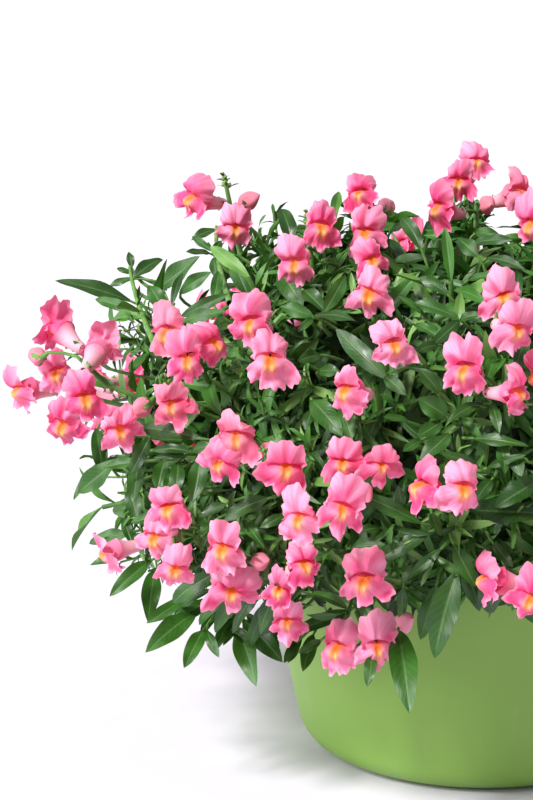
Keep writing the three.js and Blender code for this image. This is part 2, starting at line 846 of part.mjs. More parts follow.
/** A leaf on a stem: it leaves the stem at `open`, turned `turn` round it. */
function leafOn(place, turn, open, length, width, curl, stations) {
  const { at, along } = place;
  const start = squared(Math.abs(along.z) > 0.9 ? vec(1, 0, 0) : UP, along);
  const side = start.clone().applyAxisAngle(along, turn);
  return {
    root: moved(at, side, -STEM.rootDepth),
    along: moved(vec(0, 0, 0), along, Math.cos(open), side, Math.sin(open)),
    over: moved(vec(0, 0, 0), along, Math.sin(open), side, -Math.cos(open)),
    length,
    width,
    curl,
    stations,
  };
}

/** A leaf: flat above, with a keel under the rib, from an upright root edge to a point. */
function makeLeaf(leaf) {
  const side = leaf.along.clone().cross(leaf.over);
  const top = 0.4 * LEAF.rib;
  const keel = top - LEAF.rib;
  const points = [moved(leaf.root, leaf.over, top), moved(leaf.root, leaf.over, keel)];
  for (const [share, part] of leaf.stations) {
    const { at, over } = ribAt(leaf, share);
    const reach = 0.5 * leaf.width * part;
    points.push(moved(at, side, reach, over, top));
    points.push(moved(at, side, -reach, over, top));
    points.push(moved(at, over, keel));
  }
  const tip = points.length;
  points.push(ribAt(leaf, 1).at);
  const faces = [[0, 2, 3], [0, 3, 4], [0, 4, 1], [1, 4, 2], [1, 2, 0]];
  for (let first = 2; first < tip; first += 3) {
    for (let j = 0; j < 3; j += 1) {
      const a = first + j;
      const b = first + ((j + 1) % 3);
      if (first + 3 < tip) {
        faces.push([a, a + 3, b + 3], [a, b + 3, b]);
      } else {
        faces.push([a, tip, b]);
      }
    }
  }
  return solid(points, faces);
}

const plants = Array.from({ length: PLANT.count }, () => ({ stems: [], leaves: [] }));

/** Puts leaves on a stem by turns of the golden angle; each tries a few ways to fit. */
function addLeaves(stem, owner, rule, random) {
  let turn = 2 * Math.PI * random();
  for (let i = 0; i < rule.count; i += 1) {
    const share = rule.count > 1 ? i / (rule.count - 1) : 0;
    const place = placeOn(stem.path, mix(rule.from, rule.to, share));
    turn += GOLDEN_ANGLE;
    for (let attempt = 0; attempt < TRIES; attempt += 1) {
      const length = mix(46, 34, share) * mix(0.85, 1.1, random());
      const leaf = leafOn(
        place,
        turn + mix(-0.7, 0.7, random()) * (attempt / 2),
        mix(1.15, 0.75, share) + mix(-0.15, 0.25, random()),
        length * mix(1, 0.8, attempt / TRIES),
        length * mix(0.22, 0.27, random()),
        mix(0.35, 0.9, random()),
        i < rule.long ? LONG_LEAF : SHORT_LEAF,
      );
      const balls = leafBalls(leaf);
      if (swell(balls[3].at) > HEART.reach && isClear(balls, owner, stem.number)) {
        addObstacles(balls, owner);
        stem.plant.leaves.push(leaf);
        break;
      }
    }
  }
}

/** Grows a stem to `tip`, or none when no bend of it keeps clear and it isn't `needed`. */
function addStem(tip, along, owner, needed) {
  const plant = plantOf(tip);
  for (const bend of STEM.bends) {
    const path = stemPath(tip, along, plant, bend);
    const balls = ballsAlong(path, STEM.radius + STEM.room, STEM.spacing);
    const free = balls.filter((ball) => ball.at.distanceTo(tip) > STEM.seatRoom);
    const last = bend === STEM.bends[STEM.bends.length - 1];
    if (isClear(free, owner, plant) || (needed && last)) {
      const stem = { path, along, number: plant, plant: plants[plant] };
      addObstacles(balls, owner);
      plants[plant].stems.push(stem);
      return stem;
    }
  }
  return null;
}

const racemeStems = racemes.map((raceme, i) => {
  const tip = moved(raceme.base, raceme.along, -STEM.seat / 2);
  return addStem(tip, raceme.along, `stem ${i}`, true);
});
racemeStems.forEach((stem, i) => {
  addLeaves(stem, `stem ${i}`, RACEME_LEAVES, draws(RACEME_LEAVES.seed + i));
});

const shootTips = [];
lattice(SHOOTS.lattice, SHOOTS.lowest).forEach((direction, i) => {
  const random = draws(SHOOTS.seed + i);
  const tip = onMound(direction, SHOOTS.reach * mix(0.93, 1.02, random()));
  const crowded = (p) => p.distanceTo(tip) < SHOOTS.apart;
  if (racemes.some((raceme) => crowded(raceme.base) || crowded(raceme.tip))) {
    return;
  }
  if (!isClear([{ at: tip, radius: 12 }], "")) {
    return;
  }
  const owner = `shoot ${i}`;
  const stem = addStem(tip, growth(tip), owner, false);
  if (stem) {
    shootTips.push(tip);
    addLeaves(stem, owner, SHOOT_LEAVES, random);
  }
});

/** A point of the heart's skin, by the angle round the pot and the angle above level. */
function heartSkin(round, above) {
  const way = vec(Math.cos(round) * Math.cos(above), Math.sin(round) * Math.cos(above), Math.sin(above));
  return moved(HUB, way, HEART.scale / swell(moved(HUB, way, 1)));
}

/** A point of the heart's lowest row, just over the pot's rim. */
function skirtPoint(round) {
  const [radius, height] = HEART.skirt;
  return vec(Math.cos(round) * radius, Math.sin(round) * radius, height);
}

/** How low `tip` may hang so that a straight line to it from `root` clears the pot's rim. */
function rimClearHeight(root, tip) {
  const near = Math.hypot(root.x, root.y);
  const far = Math.hypot(tip.x, tip.y);
  const rim = POT.rimRadius + STEM.clear;
  if (near >= rim) {
    return -Infinity;
  }
  const share = Math.min(1, (rim - near) / (far - near));
  return root.z + (POT.height + STEM.clear - root.z) / share;
}

/** One plant's slice of the heart, covered with points that lean up and outwards. */
function makeHeart(plant) {
  const random = draws(HEART.seed + plant);
  const start = (2 * Math.PI * plant) / PLANT.count;
  const points = [vec(0, 0, HEART.under), heartSkin(0, Math.PI / 2)];
  const addRow = (columns, pointAt) => {
    const first = points.length;
    for (let j = 0; j <= columns; j += 1) {
      const uneven = j % columns === 0 ? 0 : HEART.uneven;
      const place = pointAt === skirtPoint ? j : j + mix(-uneven, uneven, random());
      const higher = THREE.MathUtils.degToRad(HEART.tilt * mix(-uneven, uneven, random()));
      points.push(pointAt(start + (2 * Math.PI * place) / (columns * PLANT.count), higher));
    }
    return Array.from({ length: columns + 1 }, (_, j) => first + j);
  };
  const rows = [addRow(HEART.columns, skirtPoint)];
  [...HEART.rows, ...HEART.topRows].forEach((degrees) => {
    const columns = HEART.rows.includes(degrees) ? HEART.columns : HEART.topColumns;
    const above = THREE.MathUtils.degToRad(degrees);
    rows.push(addRow(columns, (round, higher) => heartSkin(round, above + higher)));
  });
  const faces = [];
  const drawOut = (cell) => {
    const middle = vec(0, 0, 0);
    cell.forEach((k) => middle.addScaledVector(points[k], 1 / cell.length));
    const out = mix(HEART.points[0], HEART.points[1], random()) / HEART.scale;
    const lean = HEART.lift * mix(0.3, 1, random());
    const tip = moved(HUB, moved(middle, HUB, -1), out, UP, middle.z > HUB.z ? lean : 0);
    if (cell.some((k) => rows[0].includes(k))) {
      tip.z = Math.max(tip.z - HEART.hang, ...cell.map((k) => rimClearHeight(points[k], tip)));
    }
    points.push(tip.applyAxisAngle(UP, HEART.swing * mix(-1, 1, random())));
    cell.forEach((k, i) => faces.push([points.length - 1, k, cell[(i + 1) % cell.length]]));
  };
  rows.forEach((row, i) => {
    const upper = rows[i + 1] ?? [1];
    const share = (row.length - 1) / Math.max(upper.length - 1, 1);
    const merging = upper.length > 1 ? share : 1;
    for (let j = 0; j + merging < row.length; j += merging) {
      const lower = row.slice(j, j + merging + 1);
      const k = j / merging;
      drawOut([...lower, ...(upper.length > 1 ? [upper[k + 1], upper[k]] : [1])]);
    }
  });
  const left = rows.map((row) => row[0]);
  const right = rows.map((row) => row[row.length - 1]);
  for (let i = 0; i + 1 < rows.length; i += 1) {
    faces.push([0, left[i], left[i + 1]], [0, right[i + 1], right[i]]);
  }
  faces.push([0, left[rows.length - 1], 1], [0, 1, right[rows.length - 1]]);
  for (let j = 0; j < HEART.columns; j += 1) {
    faces.push([0, rows[0][j + 1], rows[0][j]]);
  }
  const shift = plantDirection(plant).multiplyScalar(HEART.slit);
  return solid(points.map((p) => moved(p, shift, 1)), faces);
}

function makePlant({ stems, leaves }, plant) {
  const foot = trunkPoint(plant, SOIL.top - SOIL.holeDepth + SOIL.gap);
  const crown = trunkPoint(plant, PLANT.crown);
  const radius = PLANT.trunkRadius;
  const bodies = [makeHeart(plant), rod([foot, crown], [radius, radius], 6)];
  for (const { path, along } of stems) {
    const radii = path.map((p, i) => mix(STEM.radius, STEM.tipRadius, i / (path.length - 1)));
    bodies.push(rod(path, radii, 3, along));
  }
  return joined([...bodies, ...leaves.map(makeLeaf)]);
}

// ------------------------------------------------------------------ the whole planter

const planter = new THREE.Group();
planter.add(named("pot", makePot(), COLOUR.pot, 0.6));
planter.add(named("soil", makeSoil(), COLOUR.soil, 0.95));
plants.forEach((plant, i) => {
  planter.add(named(`plant_${i + 1}`, makePlant(plant, i), COLOUR.leaf, 0.5));
});
racemes.forEach((raceme, i) => {
  const name = `raceme_${String(i + 1).padStart(2, "0")}`;
  planter.add(named(name, makeRaceme(raceme), COLOUR.bloom, 0.55));
});

export default planter;
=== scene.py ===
"""Looks of a mounded snapdragon in a green pot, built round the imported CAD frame.

Racemes, stems and leaves are laid out by the rules of the part's source, in millimetres, so
that each fine piece stands where its plain solid does. Meshes are scaled to metres when they
are made.
"""

import math
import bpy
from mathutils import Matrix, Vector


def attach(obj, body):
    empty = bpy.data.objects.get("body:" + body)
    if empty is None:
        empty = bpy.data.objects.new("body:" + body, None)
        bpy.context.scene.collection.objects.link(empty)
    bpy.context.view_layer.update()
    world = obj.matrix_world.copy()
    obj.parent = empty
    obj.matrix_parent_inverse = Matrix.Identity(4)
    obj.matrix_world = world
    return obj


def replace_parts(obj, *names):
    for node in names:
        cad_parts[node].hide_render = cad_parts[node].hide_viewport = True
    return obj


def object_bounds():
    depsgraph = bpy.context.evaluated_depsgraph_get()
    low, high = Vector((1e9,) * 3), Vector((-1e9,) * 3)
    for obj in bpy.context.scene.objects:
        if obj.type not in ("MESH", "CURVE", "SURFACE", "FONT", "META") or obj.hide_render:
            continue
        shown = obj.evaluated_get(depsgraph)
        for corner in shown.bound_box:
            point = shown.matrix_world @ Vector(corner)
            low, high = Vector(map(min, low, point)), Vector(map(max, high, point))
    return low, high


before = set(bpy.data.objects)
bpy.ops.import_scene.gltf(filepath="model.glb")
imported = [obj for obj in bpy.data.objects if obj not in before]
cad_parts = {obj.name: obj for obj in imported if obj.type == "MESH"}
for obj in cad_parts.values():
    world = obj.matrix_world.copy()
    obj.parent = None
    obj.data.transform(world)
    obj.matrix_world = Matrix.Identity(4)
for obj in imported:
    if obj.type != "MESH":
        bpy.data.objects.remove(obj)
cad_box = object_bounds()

from types import SimpleNamespace as Named

import bpy
import numpy as np
from mathutils import Vector

MM = 0.001

# ---------------- layout: driving sizes, as in the part's source

POT = Named(height=150, rim=138.5, foot=89, rounding=21, floor=5, lip=1.8)
SOIL = Named(top=132, gap=0.4, lumps=3.2, rows=34, rounds=110, skirt=8, seed=4)
MOUND = Named(wide=235, deep=215, up=128, droop=100, front_lift=42, front=math.radians(-75),
              middle=190, power=2.8)
PLANT = Named(count=8, ring=66, depth=6, crown=172)
HALF_SLICE = math.pi / PLANT.count
HEART = Named(reach=0.86, base=0.52, lowest_root=164, margin=6)
STEM = Named(radius=2.1, tip=1.7, root=0.6, seat=0.3, clear=2.6, room=0.6, spacing=5,
             seat_room=9, bends=[0, 0.25, -0.15, 0.5, 0.8])
STALK = Named(radius=2.1, above=11, below=10, per_bloom=4, behind=6, tip_radius=3.3)
TUBE_LENGTH = 24
DISPLAY = Named(distance=2000, near=1600, far=2400, step=6, rise=math.radians(15),
                across=-129.4, height=212, right=152)
BLOOM_REACH = 1.09
HUDDLE = 12
SNUG = 0.92
NEARER = [0, -8, 8, -16, 16, -24, 24, 32, -32, 40]
DEEPER = [0, 8, -8, 15, -15]
FAR = Named(count=33, lowest=-0.42, reach=[0.92, 0.97], length=42, apart=48, faced=-0.12,
            blooms=[4, 4, 4, 4, 4, 4, 3, 3], below=12, level=8, turn=math.radians(44),
            fan=math.radians(88), seed=700)
SHOOTS = Named(count=54, lowest=-0.45, reach=[0.93, 1.02], apart=27, room=12, seed=3000)
RACEME_LEAVES = Named(count=3, start=0.66, end=0.95, seed=2000)
SHOOT_LEAVES = Named(count=5, start=0.66, end=0.99)
TRIES = 8
GOLDEN_ANGLE = math.radians(137.5)

# Racemes of the display side. A bloom is (across, rise, turn, tip, size): where its face lies
# in the display view, in mm, and how it is turned to the viewer's right and up, in degrees. A
# bud is (across, rise, radius).
SHOWN = [
    ([(-42, 120, -50, -5, 0.95), (-19, 103, 5, -15, 0.95)], [(-12, 119, 5)]),
    ([(-124, 42, -140, 20, 1), (-101, 30, 160, 25, 0.95)], [(-137, 26, 5)]),
    ([(-145, 6, -60, -10, 0.95), (-124, 15, -20, 0, 0.9)], []),
    ([(-109, 0, 10, -10, 1), (-121, -15, -20, -25, 0.95)], []),
    ([(-89, -18, 15, -15, 0.95)], []),
    ([(-58, 39, -25, -5, 1), (-47, 24, -5, -20, 0.9), (-34, 33, 40, -5, 0.9)], []),
    ([(-56, -3, -10, -15, 0.95)], [(-74, -4, 5)]),
    ([(-8, 45, -20, -5, 1), (2, 23, 0, -12, 1)], []),
    ([(32, 102, 10, 0, 0.95), (18, 82, -15, -25, 0.95)], []),
    ([(57, 122, -20, 15, 0.85), (60, 99, -12, -8, 0.95)], [(71, 115, 5)]),
    ([(63, 83, 10, -10, 0.8), (62, 63, -10, -12, 1)], []),
    ([(50, 5, -32, -5, 0.95)], []),
    ([(76, 32, 10, -5, 0.85)], []),
    ([(-17, -23, -10, -8, 1.05), (-26, -37, -28, -18, 0.95)], [(1, -31, 5)]),
    ([(11, -41, 5, -8, 1.05)], []),
    ([(46, -38, -6, -8, 0.85), (66, -39, 28, -8, 0.85)], [(58, -54, 4.5)]),
    ([(44, -66, 10, -8, 0.95), (21, -72, -20, -5, 0.9)], []),
    ([(-57, -66, -20, 0, 0.95), (-65, -83, -25, -12, 0.9), (-55, -100, 0, -25, 0.9)], []),
    ([(-25, -90, -15, -8, 1), (-21, -114, 0, -15, 1)], [(-5, -97, 4.5)]),
    ([(21, -100, 22, 0, 0.85), (9, -114, -22, -8, 0.8)], []),
    ([(13, -132, -8, -15, 0.85)], []),
    ([(59, -110, -12, 0, 1)], []),
    ([(44, -150, -25, -5, 1), (67, -149, -3, -5, 0.95)], [(82, -134, 5)]),
    ([(95, -54, -45, 15, 1), (117, -54, 10, -8, 0.9)], []),
    ([(120, 17, -22, -5, 1), (148, 4, 50, -10, 0.8)], []),
    ([(142, 60, 0, 10, 0.95), (148, 43, 20, -15, 0.95)], []),
    ([(125, 141, 10, 20, 0.9), (116, 130, -12, -5, 0.95)], []),
    ([(105, 114, -40, -5, 0.9), (150, 123, 40, 0, 0.95)], [(132, 117, 5)]),
    ([(-93, -91, -70, -20, 0.85)], []),
]

# What a bloom of size 1 takes up: (forward, aside, up, radius).
BLOOM_BALLS = [
    (-19, 0, -3, 5), (-11, 0, -1, 6.5), (-4, 0, 0, 8), (0, 0, 11, 7), (-1, 8, 12, 6.5),
    (-1, -8, 12, 6.5), (2, 9, -4, 6), (2, -9, -4, 6), (3, 0, -10, 7), (5, 0, -2, 5.5),
]

# Where along a leaf its spheres are, with the share of its width there.
LEAF_BALLS = [(0.2, 0.5), (0.34, 0.92), (0.48, 1), (0.62, 0.95), (0.76, 0.78), (0.9, 0.4),
              (1, 0.1)]

# ---------------- layout: helpers

UP = (0.0, 0.0, 1.0)
RIGHT = (1.0, 0.0, 0.0)
HUB = (0.0, 0.0, MOUND.middle)


def moved(start, *steps):
    """start + each pair of (direction, amount)."""
    x, y, z = start
    for (dx, dy, dz), amount in zip(steps[::2], steps[1::2]):
        x += dx * amount
        y += dy * amount
        z += dz * amount
    return x, y, z


def sum_of(*steps):
    return moved((0, 0, 0), *steps)


def dot(a, b):
    return a[0] * b[0] + a[1] * b[1] + a[2] * b[2]


def cross(a, b):
    return a[1] * b[2] - a[2] * b[1], a[2] * b[0] - a[0] * b[2], a[0] * b[1] - a[1] * b[0]


def unit(v):
    length = math.sqrt(dot(v, v))
    return v[0] / length, v[1] / length, v[2] / length


def squared(v, axis):
    """The way of v, made square to the axis."""
    return unit(moved(v, axis, -dot(v, axis)))


def beside(axis):
    """Any way that is square to the axis."""
    return squared(UP if abs(axis[2]) < 0.9 else RIGHT, axis)


def apart(a, b):
    return math.sqrt((a[0] - b[0]) ** 2 + (a[1] - b[1]) ** 2 + (a[2] - b[2]) ** 2)


def mix(low, high, share):
    return low + (high - low) * share


def clamp(value, low, high):
    return max(low, min(high, value))


def turned_about(v, axis, angle):
    cosine = math.cos(angle)
    return sum_of(v, cosine, cross(axis, v), math.sin(angle), axis, dot(axis, v) * (1 - cosine))


def draws(seed):
    """The same stream of numbers from 0 to 1 as the part's source uses (mulberry32)."""
    state = seed & 0xFFFFFFFF

    def draw():
        nonlocal state
        state = (state + 0x6D2B79F5) & 0xFFFFFFFF
        t = state
        t = ((t ^ (t >> 15)) * (t | 1)) & 0xFFFFFFFF
        t ^= (t + (((t ^ (t >> 7)) * (t | 61)) & 0xFFFFFFFF)) & 0xFFFFFFFF
        return (t ^ (t >> 14)) / 4294967296

    return draw


def strayed(way, most, random):
    return unit([part + mix(-most, most, random()) for part in way])


def scattered(rule):
    """Directions spread evenly down to rule.lowest, each with its own stream of draws."""
    for i in range(rule.count):
        z = mix(rule.lowest, 1, (i + 0.5) / rule.count)
        r = math.sqrt(1 - z * z)
        direction = (r * math.cos(i * GOLDEN_ANGLE), r * math.sin(i * GOLDEN_ANGLE), z)
        yield direction, draws(rule.seed + i)


# ---------------- layout: pot and mound

def wall_lean():
    run = POT.rim - POT.foot
    height = POT.height - POT.rounding
    return math.atan2(run, height) - math.asin(POT.rounding / math.hypot(run, height))


def wall_radius(z, inset=0):
    lean = wall_lean()
    radius = POT.rounding - inset
    foot = POT.foot + radius * math.cos(-lean)
    return foot + (z - POT.rounding - radius * math.sin(-lean)) * math.tan(lean)


def meets_pot(p, room):
    return (p[2] < POT.height + room
            and math.hypot(p[0], p[1]) < wall_radius(min(p[2], POT.height)) + room)


def droop_at(x, y):
    facing = max(0.0, math.cos(math.atan2(y, x) - MOUND.front))
    return MOUND.droop - MOUND.front_lift * facing * facing


def swell(p):
    """How far out a point lies: 1 on the mound's surface, less inside it."""
    plan = math.hypot(p[0] / MOUND.wide, p[1] / MOUND.deep)
    above = p[2] - MOUND.middle
    reach = MOUND.up if above > 0 else droop_at(p[0], p[1])
    return (plan ** MOUND.power + abs(above / reach) ** MOUND.power) ** (1 / MOUND.power)


def outward(p):
    """The way off the mound's surface at a point."""
    return unit([swell(moved(p, axis, 2)) - swell(moved(p, axis, -2))
                 for axis in (RIGHT, (0, 1, 0), UP)])


def growth(p):
    return unit(moved(outward(p), UP, 0.55))


def on_mound(direction, scale):
    x, y, z = direction[0] * MOUND.wide, direction[1] * MOUND.deep, direction[2]
    z *= MOUND.up if z >= 0 else droop_at(x, y)
    return moved(HUB, (x, y, z), scale / swell(moved(HUB, (x, y, z), 1)))


def towards_hub(p, scale):
    """Where the line from the mound's middle to p lies at `scale` of the mound."""
    return moved(HUB, moved(p, HUB, -1), scale / swell(p))


# ---------------- layout: display view

BACK = (0.0, -math.cos(DISPLAY.rise), math.sin(DISPLAY.rise))
VIEW_UP = (0.0, math.sin(DISPLAY.rise), math.cos(DISPLAY.rise))
TARGET = (DISPLAY.across, 0.0, DISPLAY.height)
EYE = moved(TARGET, BACK, DISPLAY.distance)


def sight_line(across, rise):
    return unit(sum_of(BACK, -DISPLAY.distance, RIGHT, across, VIEW_UP, rise))


def sighted(across, rise, distance):
    return moved(EYE, sight_line(across, rise), distance)


def sight_distance(across, rise, scale):
    """How far along a sight line the mound scaled by `scale` is met, or passed most closely."""
    ray = sight_line(across, rise)
    nearest, least = 0.0, math.inf
    for distance in range(DISPLAY.near, DISPLAY.far, DISPLAY.step):
        value = swell(moved(EYE, ray, distance))
        if value <= scale:
            low, high = float(distance - DISPLAY.step), float(distance)
            for _ in range(16):
                half = (low + high) / 2
                if swell(moved(EYE, ray, half)) > scale:
                    low = half
                else:
                    high = half
            return high
        if value < least:
            nearest, least = distance, value
    return nearest


def displayed(p):
    """Where a point lies in the display view, and how far it is from the eye."""
    offset = moved(p, EYE, -1)
    depth = -dot(offset, BACK)
    scale = DISPLAY.distance / depth
    return dot(offset, RIGHT) * scale, dot(offset, VIEW_UP) * scale, depth


# ---------------- layout: clearance

class Obstacles:
    """Spheres that the later pieces keep clear of, each with the owner it belongs to."""

    def __init__(self):
        self.rows = np.zeros((40000, 5))
        self.count = 0
        self.owners = {}

    def add(self, balls, owner):
        number = self.owners.setdefault(owner, len(self.owners))
        for at, radius in balls:
            self.rows[self.count] = (*at, radius, number)
            self.count += 1

    def meets(self, at, radius, owner):
        rows = self.rows[:self.count]
        near = ((rows[:, :3] - at) ** 2).sum(1) < (rows[:, 3] + radius) ** 2
        return bool((near & (rows[:, 4] != self.owners.get(owner, -1))).any())


obstacles = Obstacles()


def plant_direction(plant):
    angle = 2 * math.pi * (plant + 0.5) / PLANT.count
    return math.cos(angle), math.sin(angle), 0.0


def in_slice(p, plant, margin):
    middle = plant_direction(plant)
    sideways = abs(middle[0] * p[1] - middle[1] * p[0])
    return dot(p, middle) * math.sin(HALF_SLICE) - sideways * math.cos(HALF_SLICE) > margin


def is_clear(balls, owner, plant=None):
    for at, radius in balls:
        if swell(at) < HEART.reach + (radius + 1) / MOUND.wide:
            if plant is None or not in_slice(at, plant, radius + 1):
                return False
        if obstacles.meets(at, radius, owner) or meets_pot(at, radius + STEM.clear):
            return False
    return True


def balls_along(path, radius, spacing):
    balls = []
    for start, end in zip(path, path[1:]):
        count = math.ceil(apart(start, end) / spacing)
        step = moved(end, start, -1)
        balls += [(moved(start, step, (k + 0.5) / count), radius) for k in range(count)]
    return balls


# ---------------- layout: racemes

def bloom_at(face, facing, size):
    left = unit(cross(UP, facing))
    lift = cross(facing, left)
    balls = [(moved(face, facing, forward * size, left, aside * size, lift, up * size),
              radius * size) for forward, aside, up, radius in BLOOM_BALLS]
    return Named(face=face, facing=facing, left=left, lift=lift, size=size, balls=balls,
                 foot=moved(face, facing, -TUBE_LENGTH * size, lift, -3 * size))


def raceme_of(blooms, buds):
    middle = facing = (0.0, 0.0, 0.0)
    for bloom in blooms:
        middle = moved(middle, bloom.foot, 1 / len(blooms))
        facing = moved(facing, bloom.facing, 1 / len(blooms))
    middle = moved(middle, facing, -STALK.behind)
    along = growth(middle)
    heights = [dot(moved(bloom.foot, middle, -1), along) for bloom in blooms] + [0]
    below = STALK.below + STALK.per_bloom * len(blooms)
    tip = moved(middle, along, max(heights) + STALK.above)
    base = moved(middle, along, min(heights) - below)
    length = apart(base, tip)
    balls = balls_along([base, tip], STALK.radius + 1, 5)
    balls.append((moved(tip, along, 4), STALK.tip_radius + 2))
    for part in blooms + buds:
        high = dot(moved(part.foot, base, -1), along) - 3
        part.stalk_point = moved(base, along, clamp(high, 5, length - 4))
        balls += part.balls + balls_along([part.stalk_point, part.foot], 3, 5)
    return Named(blooms=blooms, buds=buds, along=along, base=base, tip=tip, balls=balls)


def shown_raceme(row, nearer):
    """A raceme of the display side, `nearer` mm closer to the viewer than the mound."""
    mean = [sum(bloom[k] for bloom in row[0]) / len(row[0]) for k in (0, 1)]
    middle = sight_distance(*mean, BLOOM_REACH) - nearer
    taken = []

    def places(across, rise, deeper=0):
        own = sight_distance(across, rise, BLOOM_REACH) - nearer
        own = clamp(own, middle - HUDDLE, middle + HUDDLE)
        return [sighted(across, rise, own + (depth + deeper)) for depth in DEEPER]

    def settled(choices, balls_of):
        def fits(choice):
            return all(apart(at, other) > SNUG * (radius + wide)
                       for at, radius in balls_of(choice) for other, wide in taken)
        choice = next(filter(fits, choices), choices[0])
        taken.extend(balls_of(choice))
        return choice

    blooms, buds = [], []
    for across, rise, turn, tip, size in row[0]:
        turn, tip = math.radians(turn), math.radians(tip)
        facing = sum_of(RIGHT, math.sin(turn) * math.cos(tip),
                        BACK, math.cos(turn) * math.cos(tip), VIEW_UP, math.sin(tip))
        choices = [bloom_at(place, facing, size) for place in places(across, rise)]
        blooms.append(settled(choices, lambda bloom: bloom.balls))
    for across, rise, radius in row[1]:
        choices = [Named(foot=place, radius=radius, balls=[(place, radius * 1.3)])
                   for place in places(across, rise, 8)]
        buds.append(settled(choices, lambda bud: [(bud.foot, 1.4 * bud.radius)]))
    return raceme_of(blooms, buds)


def ruled_raceme(tip, count, random):
    """A raceme with `count` blooms turned apart, whose spike ends near `tip`."""
    along = growth(tip)
    radial = squared((tip[0], tip[1], 0.001), UP)
    across = cross(UP, radial)
    middle = mix(-0.5, 0.5, random())
    step = (-1 if random() < 0.5 else 1) * (FAR.turn + FAR.fan / count)
    blooms = []
    for i in range(count):
        angle = middle + step * (i - (count - 1) / 2) * mix(0.93, 1.07, random())
        facing = unit(moved((0, 0, mix(-0.3, 0.05, random())), radial, math.cos(angle),
                            across, math.sin(angle)))
        size = mix(0.85, 1.02, random())
        foot = moved(tip, along, -FAR.below - FAR.level * i)
        face = moved(foot, facing, (TUBE_LENGTH + STALK.behind) * size)
        blooms.append(bloom_at(face, facing, size))
    return raceme_of(blooms, [])


def plan_racemes():
    racemes = []

    def keep(choices, otherwise=None):
        """Keeps the first choice that is clear."""
        owner = f"raceme {len(racemes)}"
        chosen = next((one for one in choices if is_clear(one.balls, owner)), otherwise)
        if chosen:
            obstacles.add(chosen.balls, owner)
            racemes.append(chosen)

    for row in SHOWN:
        keep((shown_raceme(row, nearer) for nearer in NEARER), shown_raceme(row, 0))
    for direction, random in scattered(FAR):
        foot = on_mound(direction, mix(*FAR.reach, random()))
        tip = moved(foot, growth(foot), FAR.length)
        shown = displayed(tip)[0] < DISPLAY.right and dot(outward(tip), BACK) > FAR.faced
        if not shown and all(apart(raceme.tip, tip) >= FAR.apart for raceme in racemes):
            keep(ruled_raceme(tip, count, random) for count in FAR.blooms)
    return racemes


# ---------------- layout: stems and leaves

def plant_of(p):
    share = math.atan2(p[1], p[0]) / (2 * math.pi)
    return int((share % 1) * PLANT.count) % PLANT.count


def inside_slice(p, plant, margin):
    middle = plant_direction(plant)
    aside = (-middle[1], middle[0], 0.0)
    sideways = dot(p, aside)
    needed = (margin + abs(sideways) * math.cos(HALF_SLICE)) / math.sin(HALF_SLICE)
    return moved((0, 0, p[2]), middle, max(dot(p, middle), needed), aside, sideways)


def bezier(points, share):
    a, b, c, d = points
    rest = 1 - share
    return sum_of(a, rest ** 3, b, 3 * rest * rest * share, c, 3 * rest * share * share,
                  d, share ** 3)


def curve(points, count):
    return [bezier(points, i / (count - 1)) for i in range(count)]


def stem_path(tip, along, plant, bend):
    x, y, z = towards_hub(tip, HEART.base)
    root = inside_slice((x, y, max(z, HEART.lowest_root)), plant, HEART.margin)
    length = apart(root, tip)
    radial = squared((tip[0], tip[1], 0.001), UP)
    first = moved(root, radial, 0.35 * length, UP, (0.1 + bend) * length)
    second = moved(tip, along, -0.35 * length)
    middle = inside_slice(bezier((root, first, second, tip), 0.5), plant, HEART.margin)
    return [root, middle, tip]


def place_on(path, share):
    """The point at a share of a path's length, and the path's way there."""
    lengths = [apart(a, b) for a, b in zip(path, path[1:])]
    rest = share * sum(lengths)
    i = 0
    while i < len(lengths) - 1 and rest > lengths[i]:
        rest -= lengths[i]
        i += 1
    along = unit(moved(path[i + 1], path[i], -1))
    return moved(path[i], along, rest), along


def leaf_from(root, along, side, opening, length, width, curl):
    """A leaf that opens from `along` to `side`, with its upper face towards the stem's tip."""
    return Named(root=root, length=length, width=width, curl=curl,
                 along=sum_of(along, math.cos(opening), side, math.sin(opening)),
                 over=sum_of(along, math.sin(opening), side, -math.cos(opening)))


def leaf_on(place, turn, *shape):
    at, along = place
    side = turned_about(squared(RIGHT if abs(along[2]) > 0.9 else UP, along), along, turn)
    return leaf_from(moved(at, side, -STEM.root), along, side, *shape)


def rib_at(leaf, share):
    bend = leaf.curl * share
    forward = leaf.length * math.sin(bend) / leaf.curl
    down = leaf.length * (1 - math.cos(bend)) / leaf.curl
    return moved(leaf.root, leaf.along, forward, leaf.over, -down)


def leaf_balls(leaf):
    return [(rib_at(leaf, share), 0.5 * leaf.width * wide + 0.9) for share, wide in LEAF_BALLS]


def add_leaves(stem, owner, rule, random, leaves):
    turn = 2 * math.pi * random()
    for i in range(rule.count):
        share = i / (rule.count - 1)
        place = place_on(stem.path, mix(rule.start, rule.end, share))
        turn += GOLDEN_ANGLE
        for attempt in range(TRIES):
            length = mix(46, 34, share) * mix(0.85, 1.1, random())
            leaf_turn = turn + mix(-0.7, 0.7, random()) * (attempt / 2)
            opening = mix(1.15, 0.75, share) + mix(-0.15, 0.25, random())
            shorter = length * mix(1, 0.8, attempt / TRIES)
            width = length * mix(0.22, 0.27, random())
            leaf = leaf_on(place, leaf_turn, opening, shorter, width, mix(0.35, 0.9, random()))
            balls = leaf_balls(leaf)
            if swell(balls[3][0]) > HEART.reach and is_clear(balls, owner, stem.plant):
                obstacles.add(balls, owner)
                leaf.plant = stem.plant
                leaves.append(leaf)
                break


